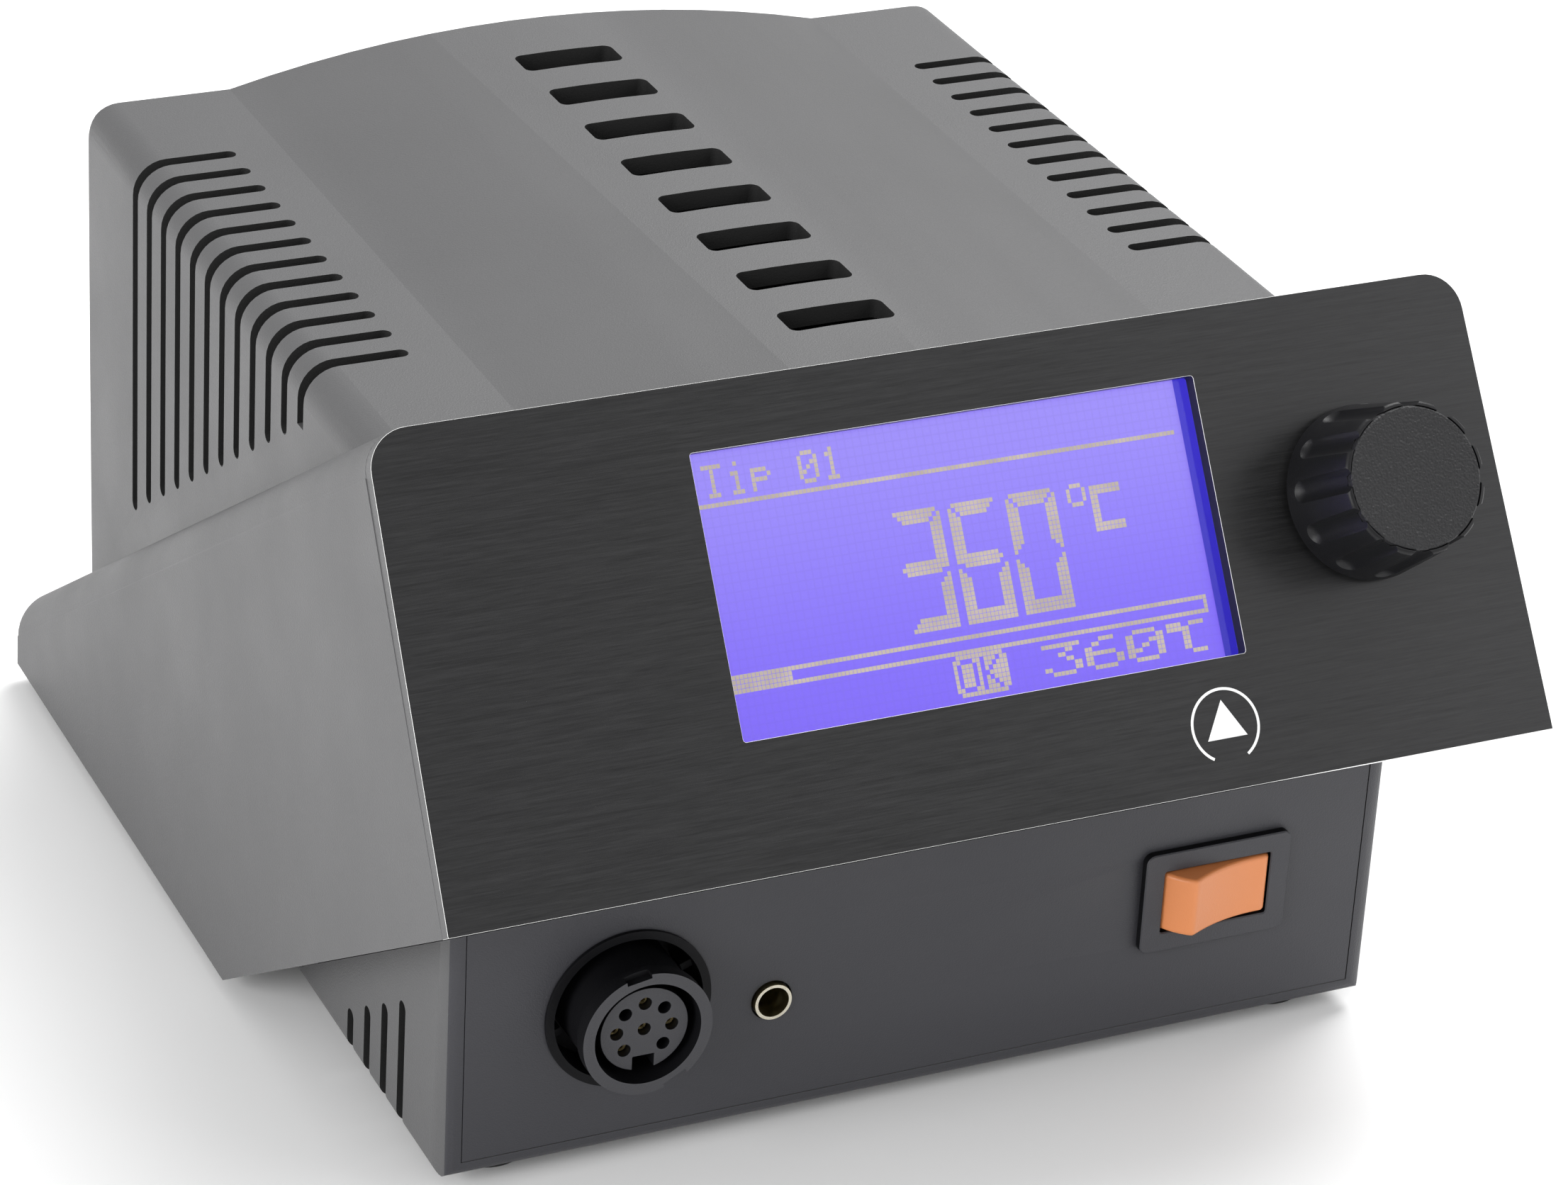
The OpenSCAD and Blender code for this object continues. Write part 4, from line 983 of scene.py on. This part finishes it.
@dataclass
class Housing:
    """The moulded shells, the lower front and what the station stands on."""

    edge_round: float = 0.35 * MM
    fascia_round: float = 0.15 * MM
    foot_round: float = 0.5 * MM

    def build(self) -> None:
        """Builds the shells, fascia, feet and screws."""
        # Faces that look inward, such as slot walls, take the near-black painted shade.
        finish_node("upper_housing", "upper_housing_moulding", BrokenEdge(self.edge_round),
                    GREY_SHELL, PAINTED_SHADE_INSIDE, zone=looks_inward)
        finish_node("base_tray", "base_tray_moulding", BrokenEdge(self.edge_round),
                    GREY_TRAY, PAINTED_SHADE_INSIDE, FRONT_PAINTED_SHADE, zone=tray_zone)
        # The fascia takes the lower front's grey, darkened as painted shade.
        finish_node("front_fascia", "front_fascia_plate", BrokenEdge(self.fascia_round), FRONT_PAINTED_SHADE)
        finish_node("rubber_feet", "rubber_feet_mouldings", BrokenEdge(self.foot_round, 3), RUBBER)
        dress_node("housing_screws", STEEL)


@dataclass
class PrintedMark:
    """A plain printed symbol: a ring, open below, round a filled triangle."""

    across: float = 28.4 * MM
    up: float = 7.7 * MM
    radius: float = 4.6 * MM
    line: float = 0.34 * MM
    gap_deg: float = 62.0
    triangle: float = 3.1 * MM
    film: tuple[float, float] = (0.002 * MM, 0.02 * MM)
    steps: int = 48

    def build(self) -> None:
        """Builds the printed symbol as thin closed film."""
        work = bmesh.new()
        start = math.radians(-90 + self.gap_deg / 2)
        sweep = math.radians(360 - self.gap_deg)
        angles = [start + sweep * i / self.steps for i in range(self.steps + 1)]
        outer = [self._spot(self.radius, a) for a in angles]
        inner = [self._spot(self.radius - self.line, a) for a in angles]
        for i in range(self.steps):
            plate_mesh(work, [inner[i], outer[i], outer[i + 1], inner[i + 1]], self.film)
        corners = [self._spot(self.triangle, math.radians(90 + 120 * i)) for i in range(3)]
        plate_mesh(work, corners, self.film)
        bmesh.ops.remove_doubles(work, verts=work.verts, dist=WELD)
        piece = link_piece("printed_symbol", mesh_from(work, "printed_symbol"), (PRINT_WHITE,))
        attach(piece, "housing")

    def _spot(self, radius: float, angle: float) -> tuple[float, float]:
        """Gives a point of the symbol from its radius and angle."""
        return self.across + radius * math.cos(angle), self.up + radius * math.sin(angle)


@dataclass
class ControlPanel:
    """The dyed aluminium panel with its bare chamfer and printed symbol."""

    chamfer: float = 0.34 * MM
    mark: PrintedMark = field(default_factory=PrintedMark)

    def build(self) -> None:
        """Builds the panel and its print."""
        finish_node("front_panel", "front_panel_plate", BrokenEdge(self.chamfer, 1, bright=True),
                    PANEL_BLACK, BARE_EDGE, GREY_SHELL, zone=panel_zone)
        self.mark.build()


GLYPHS = {
    "T": ("11111", "00100", "00100", "00100", "00100", "00100", "01110"),
    "i": ("00100", "00000", "01100", "00100", "00100", "00100", "01110"),
    "p": ("00000", "00000", "11110", "10001", "11110", "10000", "10000"),
    "0": ("01110", "10001", "10011", "10101", "11001", "10001", "01110"),
    "1": ("00100", "01100", "00100", "00100", "00100", "00100", "01110"),
    "3": ("11111", "00010", "00100", "00010", "00001", "10001", "01110"),
    "6": ("00110", "01000", "10000", "11110", "10001", "10001", "01110"),
    "O": ("01110", "10001", "10001", "10001", "10001", "10001", "01110"),
    "K": ("10001", "10010", "10100", "11000", "10100", "10010", "10001"),
    "c": ("11011", "11100", "00100", "00100", "00100", "00100", "00011"),
    " ": ("00000",) * 7,
}
GLYPH_WIDTH = 5
GLYPH_HEIGHT = 7


@dataclass
class Display:
    """The back-lit dot-matrix display and its window.

    Columns and rows are counted from the top left dot. The dots show a generic reading.
    """

    column: float = 0.508 * MM
    row: float = 0.56 * MM
    first_across: float = -32.3 * MM
    first_up: float = 50.6 * MM
    columns: int = 126
    rows: int = 64
    gap: float = 0.05 * MM
    left_margin: float = 1.0 * MM
    layer: float = 0.01 * MM
    dots: set[tuple[int, int]] = field(default_factory=set)

    def build(self) -> None:
        """Builds the window, frame, glass, glow and dots."""
        dress_node("lcd_frame", BLACK_MATT)
        dress_node("lcd_board", BOARD_GREEN)
        dress_node("display_window", WINDOW_CLEAR)
        dress_node("lcd_glass", BORDER_BLUE)
        self.draw_reading()
        glass = self.glass_height()
        work = bmesh.new()
        outline = box_outline(self.first_across - self.left_margin, self.first_up - self.rows * self.row,
                              self.first_across + self.columns * self.column, self.first_up)
        plate_mesh(work, outline, (glass, glass + self.layer))
        glow = link_piece("display_glow", mesh_from(work, "display_glow"), (GLOW_VIOLET,))
        work = bmesh.new()
        for column, row in sorted(self.dots):
            self._dot(work, column, row, glass + 2 * self.layer)
        lit = link_piece("display_dots", mesh_from(work, "display_dots"), (DOT_TAN,))
        for piece in (glow, lit):
            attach(piece, "housing")
            LOG.info("%s has %d faces", piece.name, len(piece.data.polygons))

    def glass_height(self) -> float:
        """Gives the height of the display glass along the panel's normal."""
        glass = frame["nodes"]["lcd_glass"].data
        return max((vertex.co - PANEL.origin).dot(PANEL.out) for vertex in glass.vertices)

    def _dot(self, work: bmesh.types.BMesh, column: int, row: int, out: float) -> None:
        """Adds one dot to a mesh.

        Args:
            work: The mesh that gets the dot.
            column: The dot's column.
            row: The dot's row.
            out: Height of the dot's underside along the panel's normal.
        """
        left = self.first_across + column * self.column
        top = self.first_up - row * self.row
        outline = box_outline(left, top - self.row + self.gap, left + self.column - self.gap, top)
        plate_mesh(work, outline, (out, out + self.layer))

    def draw_reading(self) -> None:
        """Draws the generic reading: a header, a temperature, a bar and a small line."""
        self.text("Tip 01", 3, 4)
        self.block(0, 12, 124, 1)
        for i, segments in enumerate(("abgcd", "afgcde", "abcdef")):
            self.digit(47 + 15 * i, 20, segments)
        self.ring(93, 20, 5)
        self.letter_c(99, 21, 8, 10)
        self.block(0, 48, 16, 4)
        self.block(16, 48, 108, 1)
        self.block(16, 51, 108, 1)
        self.block(123, 48, 1, 4)
        self.inverse("OK", 56, 52)
        self.text("360c", 79, 53, 2)

    def block(self, column: int, row: int, width: int, height: int) -> None:
        """Switches a rectangle of dots on."""
        self.dots |= {(c, r) for c in range(column, column + width) for r in range(row, row + height)}

    def glyph(self, sign: str, column: int, row: int, wide: int) -> set[tuple[int, int]]:
        """Gives the dots of one sign, each repeated wide times across."""
        return {(column + c * wide + k, row + r)
                for r, line in enumerate(GLYPHS[sign]) for c, mark in enumerate(line)
                for k in range(wide) if mark == "1"}

    def text(self, words: str, column: int, row: int, wide: int = 1) -> None:
        """Writes a line of signs from a column and row."""
        for i, sign in enumerate(words):
            self.dots |= self.glyph(sign, column + i * (GLYPH_WIDTH * wide + 1), row, wide)

    def inverse(self, words: str, column: int, row: int) -> None:
        """Writes signs as dark shapes in a block of lit dots with cut corners."""
        pitch = GLYPH_WIDTH + 1
        width, height = pitch * len(words) + 2, GLYPH_HEIGHT + 2
        self.block(column, row, width, height)
        for right in (0, width - 1):
            for down in (0, height - 1):
                self.dots.discard((column + right, row + down))
        for i, sign in enumerate(words):
            self.dots -= self.glyph(sign, column + 1 + i * pitch, row + 1, 1)

    def ring(self, column: int, row: int, size: int) -> None:
        """Draws a small ring, as for degrees."""
        last = size - 1
        edge = {(c, r) for c in range(size) for r in range(size) if c in (0, last) or r in (0, last)}
        edge -= {(0, 0), (last, 0), (0, last), (last, last)}
        self.dots |= {(column + c, row + r) for c, r in edge}

    def letter_c(self, column: int, row: int, width: int, height: int) -> None:
        """Draws a square letter C with strokes two dots thick."""
        self.block(column, row, width, 2)
        self.block(column, row + height - 2, width, 2)
        self.block(column, row, 2, height)

    def digit(self, column: int, row: int, segments: str) -> None:
        """Draws a seven-segment digit.

        Args:
            column: Its leftmost column.
            row: Its top row.
            segments: Letters a to g of the segments that are on.
        """
        width, half, thick = 13, 13, 3
        across = {"a": 0, "g": half - 2, "d": 2 * half - thick}
        for letter, offset in across.items():
            if letter in segments:
                for t in range(thick):
                    trim = {"a": t, "d": thick - 1 - t, "g": abs(t - 1)}[letter]
                    self.block(column + 1 + trim, row + offset + t, width - 2 - 2 * trim, 1)
        upright = {"f": (0, 0), "b": (width - thick, 0), "e": (0, half), "c": (width - thick, half)}
        for letter, (side, drop) in upright.items():
            if letter in segments:
                for t in range(thick):
                    inward = t if side == 0 else thick - 1 - t
                    self.block(column + side + t, row + drop + 1 + inward, 1, half - 2 - 2 * inward + 1)


@dataclass
class Encoder:
    """The push encoder behind the panel and the knob on its shaft."""

    knob_round: float = 0.3 * MM
    cap_round: float = 0.12 * MM

    def build(self) -> None:
        """Builds the knob and cap, and dresses the encoder's metal pieces."""
        finish_node("control_knob", "control_knob_moulding", BrokenEdge(self.knob_round, 3), BLACK_SATIN)
        finish_node("knob_cap", "knob_cap_disc", BrokenEdge(self.cap_round, 2), CAP_TEXTURE)
        for node, finish in {
            "encoder_body": STEEL_SHEET, "encoder_bushing": BRASS, "encoder_nut": STEEL,
            "encoder_plunger": PRINT_WHITE, "encoder_shaft": STEEL,
        }.items():
            dress_node(node, finish)


@dataclass
class ToolSocket:
    """The round socket for the iron's lead, with its sleeve contacts."""

    ring_round: float = 0.2 * MM
    fine_round: float = 0.1 * MM
    face_reach: float = 0.5 * MM

    def build(self) -> None:
        """Builds the collar, ring and insert and dresses the contacts and nut."""
        finish_node("socket_collar", "socket_collar_ring", BrokenEdge(self.fine_round), SOCKET_BLACK)
        finish_node("socket_shell", "socket_front_ring", BrokenEdge(self.ring_round),
                    SOCKET_GREY, SOCKET_BLACK, zone=front_zone("socket_shell", self.face_reach))
        finish_node("socket_insert", "socket_insert_block", BrokenEdge(self.fine_round),
                    SOCKET_GREY, SOCKET_BLACK, zone=front_zone("socket_insert", self.face_reach))
        dress_node("socket_contacts", BRASS)
        dress_node("socket_nut", STEEL)


@dataclass
class EarthJack:
    """The plated earth jack beside the tool socket."""

    lip_round: float = 0.16 * MM
    lip_reach: float = 0.3 * MM

    def build(self) -> None:
        """Builds the jack and dresses its nut."""
        # The bore's faces take the brass darkened as painted shade.
        finish_node("earth_jack", "earth_jack_sleeve", BrokenEdge(self.lip_round, 3),
                    NICKEL, BRASS_WITH_PAINTED_SHADE, zone=front_zone("earth_jack", self.lip_reach))
        dress_node("earth_jack_nut", STEEL)


@dataclass
class MainsSwitch:
    """The rocker switch in its raised bezel."""

    rocker_round: float = 0.5 * MM
    bezel_round: float = 0.15 * MM
    corner: float = 1.2 * MM
    opening_front: float = 7.55 * MM
    opening_back: float = 8.08 * MM
    opening_height: float = 4.45 * MM
    opening_corner: float = 0.3 * MM
    front_shade_limit: float = 0.6

    def build(self) -> None:
        """Builds the bezel and rocker and dresses the body and terminals."""
        self.build_bezel()
        finish_node("switch_rocker", "switch_rocker_paddle",
                    BrokenEdge(self.rocker_round, 4, clamp=False), ROCKER_ORANGE)
        dress_node("switch_body", BLACK_MATT)
        dress_node("switch_terminals", NICKEL)

    def build_bezel(self) -> None:
        """Builds the raised bezel as one closed band, whose opening widens towards the back."""
        low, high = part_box("switch_bezel")
        half_w, half_h, depth = (high.x - low.x) / 2, (high.z - low.z) / 2, high.y - low.y
        face = Face(Vector((low.x + half_w, low.y, low.z + half_h)), Vector((1.0, 0.0, 0.0)),
                    Vector((0.0, 0.0, 1.0)), Vector((0.0, -1.0, 0.0)))
        cut = self.bezel_round
        inner_w, inner_h = self.opening_front, self.opening_height
        loops = [
            (round_outline(half_w, half_h, self.corner), -depth),
            (round_outline(half_w, half_h, self.corner), -cut),
            (round_outline(half_w - cut, half_h - cut, self.corner - cut), 0.0),
            (round_outline(inner_w + cut, inner_h + cut, self.opening_corner + cut), 0.0),
            (round_outline(inner_w, inner_h, self.opening_corner), -cut),
            (round_outline(self.opening_back, inner_h, self.opening_corner), -depth),
        ]
        work = bmesh.new()
        band_mesh(work, face, loops)
        mesh = mesh_from(work, "switch_bezel_frame")
        mesh.set_sharp_from_angle(angle=SHARP_ANGLE)
        # Forward faces take the front's painted shade and the side walls near-black plastic as painted shade:
        # two tones on one moulding.
        for part in mesh.polygons:
            part.material_index = 0 if part.normal.y < -self.front_shade_limit else 1
        stand_in(link_piece("switch_bezel_frame", mesh, (FRONT_PAINTED_SHADE, SOCKET_BLACK)), "switch_bezel")


@dataclass
class MainsInlet:
    """The mains inlet in the rear wall, with its fuse drawer."""

    edge_round: float = 0.3 * MM

    def build(self) -> None:
        """Builds the inlet and drawer and dresses the pins and fuses."""
        finish_node("mains_inlet", "mains_inlet_block", BrokenEdge(self.edge_round), BLACK_SATIN)
        finish_node("fuse_drawer", "fuse_drawer_tray", BrokenEdge(self.edge_round), BLACK_SATIN)
        dress_node("inlet_pins", NICKEL)
        dress_node("fuses", FUSE_GLASS)


@dataclass
class Electronics:
    """The transformer, the boards, their pieces and all the leads."""

    finishes: dict[str, Finish] = field(default_factory=lambda: {
        "control_board": BOARD_GREEN, "control_chips": BLACK_MATT, "board_spacers": NICKEL,
        "transformer_core": CORE_IRON, "transformer_winding": COPPER_WIRE,
        "transformer_strap": STEEL_SHEET, "strap_bolts": STEEL, "power_board": BOARD_GREEN,
        "heatsink": HEATSINK_METAL, "power_triac": BLACK_MATT, "reservoir_capacitor": BLACK_SATIN,
        "terminal_block": CLAMP_GREEN, "board_screws": STEEL, "ribbon_headers": BLACK_MATT,
        "ribbon_cable": RIBBON_GREY, "mains_leads": LEAD_BROWN, "earth_lead": LEAD_GREEN,
        "secondary_leads": LEAD_RED, "socket_cable": BLACK_MATT,
    })

    def build(self) -> None:
        """Dresses every inner piece."""
        for node, finish in self.finishes.items():
            dress_node(node, finish)
        LOG.info("%d inner nodes dressed", len(self.finishes))


# ------------------------------------------------------------------ studio

@dataclass
class Viewpoint:
    """The camera, by its place and its three angles."""

    place: tuple[float, float, float] = (-0.25909, -0.54992, 0.36385)
    azimuth: float = 25.762
    descent: float = 27.857
    roll: float = 3.183
    lens: float = 120.855
    sensor: float = 36.0
    nearest: float = 0.01

    def build(self) -> None:
        """Makes the camera and sets it as the scene's."""
        azimuth, descent, roll = (math.radians(a) for a in (self.azimuth, self.descent, self.roll))
        forward = Vector((math.sin(azimuth) * math.cos(descent),
                          math.cos(azimuth) * math.cos(descent), -math.sin(descent)))
        level = Vector((math.cos(azimuth), -math.sin(azimuth), 0.0))
        upward = level.cross(forward)
        right = math.cos(roll) * level + math.sin(roll) * upward
        top = math.cos(roll) * upward - math.sin(roll) * level
        data = bpy.data.cameras.new("studio_camera")
        data.lens = self.lens
        data.sensor_width = self.sensor
        data.clip_start = self.nearest
        camera = bpy.data.objects.new("studio_camera", data)
        bpy.context.scene.collection.objects.link(camera)
        rows = [[right[i], top[i], -forward[i], self.place[i]] for i in range(3)]
        camera.matrix_world = Matrix(rows + [[0.0, 0.0, 0.0, 1.0]])
        bpy.context.scene.camera = camera


STATION_MIDDLE = Vector((0.0, 0.0, 0.05))


@dataclass(frozen=True)
class Softbox:
    """A square soft light that looks at the station."""

    name: str
    place: tuple[float, float, float]
    side: float
    watts: float

    def build(self) -> None:
        """Makes the light."""
        data = bpy.data.lights.new(self.name, "AREA")
        data.shape = "SQUARE"
        data.size = self.side
        data.energy = self.watts
        lamp = bpy.data.objects.new(self.name, data)
        lamp.location = self.place
        aim = STATION_MIDDLE - Vector(self.place)
        lamp.rotation_mode = "QUATERNION"
        lamp.rotation_quaternion = aim.to_track_quat("-Z", "Y")
        bpy.context.scene.collection.objects.link(lamp)


@dataclass
class Studio:
    """A pale floor, even light all round and three softboxes."""

    floor_side: float = 8.0
    floor_tone: float = 0.92
    floor_roughness: float = 0.9
    haze_scale: float = 3.0
    haze_factor: float = 0.99
    sky: float = 0.68
    boxes: tuple[Softbox, ...] = (
        Softbox("left_softbox", (-1.05, -0.4, 0.42), 0.7, 10.0),
        Softbox("top_softbox", (0.55, 0.35, 1.05), 0.8, 15.0),
        Softbox("right_softbox", (0.9, -0.7, 0.55), 0.6, 2.5),
    )

    def build(self) -> None:
        """Makes the floor, the sky and the softboxes."""
        self.build_floor()
        self.build_sky()
        for box in self.boxes:
            box.build()

    def build_floor(self) -> None:
        """Makes the pale floor, slightly uneven in tone."""
        bench = Bench("studio_floor", self.floor_roughness)
        haze = bench.add("ShaderNodeTexNoise", {"Scale": self.haze_scale})
        tone = (self.floor_tone,) * 3
        bench.join(bench.mix(haze.outputs["Fac"], tone, shade(tone, self.haze_factor)), "Base Color")
        work = bmesh.new()
        half = self.floor_side / 2
        work.faces.new([work.verts.new((x, y, 0.0)) for x, y in box_outline(-half, -half, half, half)])
        mesh = mesh_from(work, "studio_floor")
        mesh.materials.append(bench.material)
        floor = bpy.data.objects.new("studio_floor", mesh)
        bpy.context.scene.collection.objects.link(floor)

    def build_sky(self) -> None:
        """Makes the even light all round, and shows colours as they are."""
        world = bpy.data.worlds.new("studio_sky")
        world.use_nodes = True
        background = world.node_tree.nodes["Background"]
        background.inputs["Color"].default_value = (1.0, 1.0, 1.0, 1.0)
        background.inputs["Strength"].default_value = self.sky
        bpy.context.scene.world = world
        bpy.context.scene.view_settings.view_transform = "Standard"


def main() -> None:
    """Builds the studio and every sub-assembly in order."""
    logging.basicConfig(level=logging.INFO, format="%(name)s: %(message)s")
    Viewpoint().build()
    Studio().build()
    for assembly in (Housing(), ControlPanel(), Display(), Encoder(), ToolSocket(), EarthJack(),
                     MainsSwitch(), MainsInlet(), Electronics()):
        assembly.build()
        LOG.info("%s built", type(assembly).__name__)


if __name__ == "__main__":
    main()
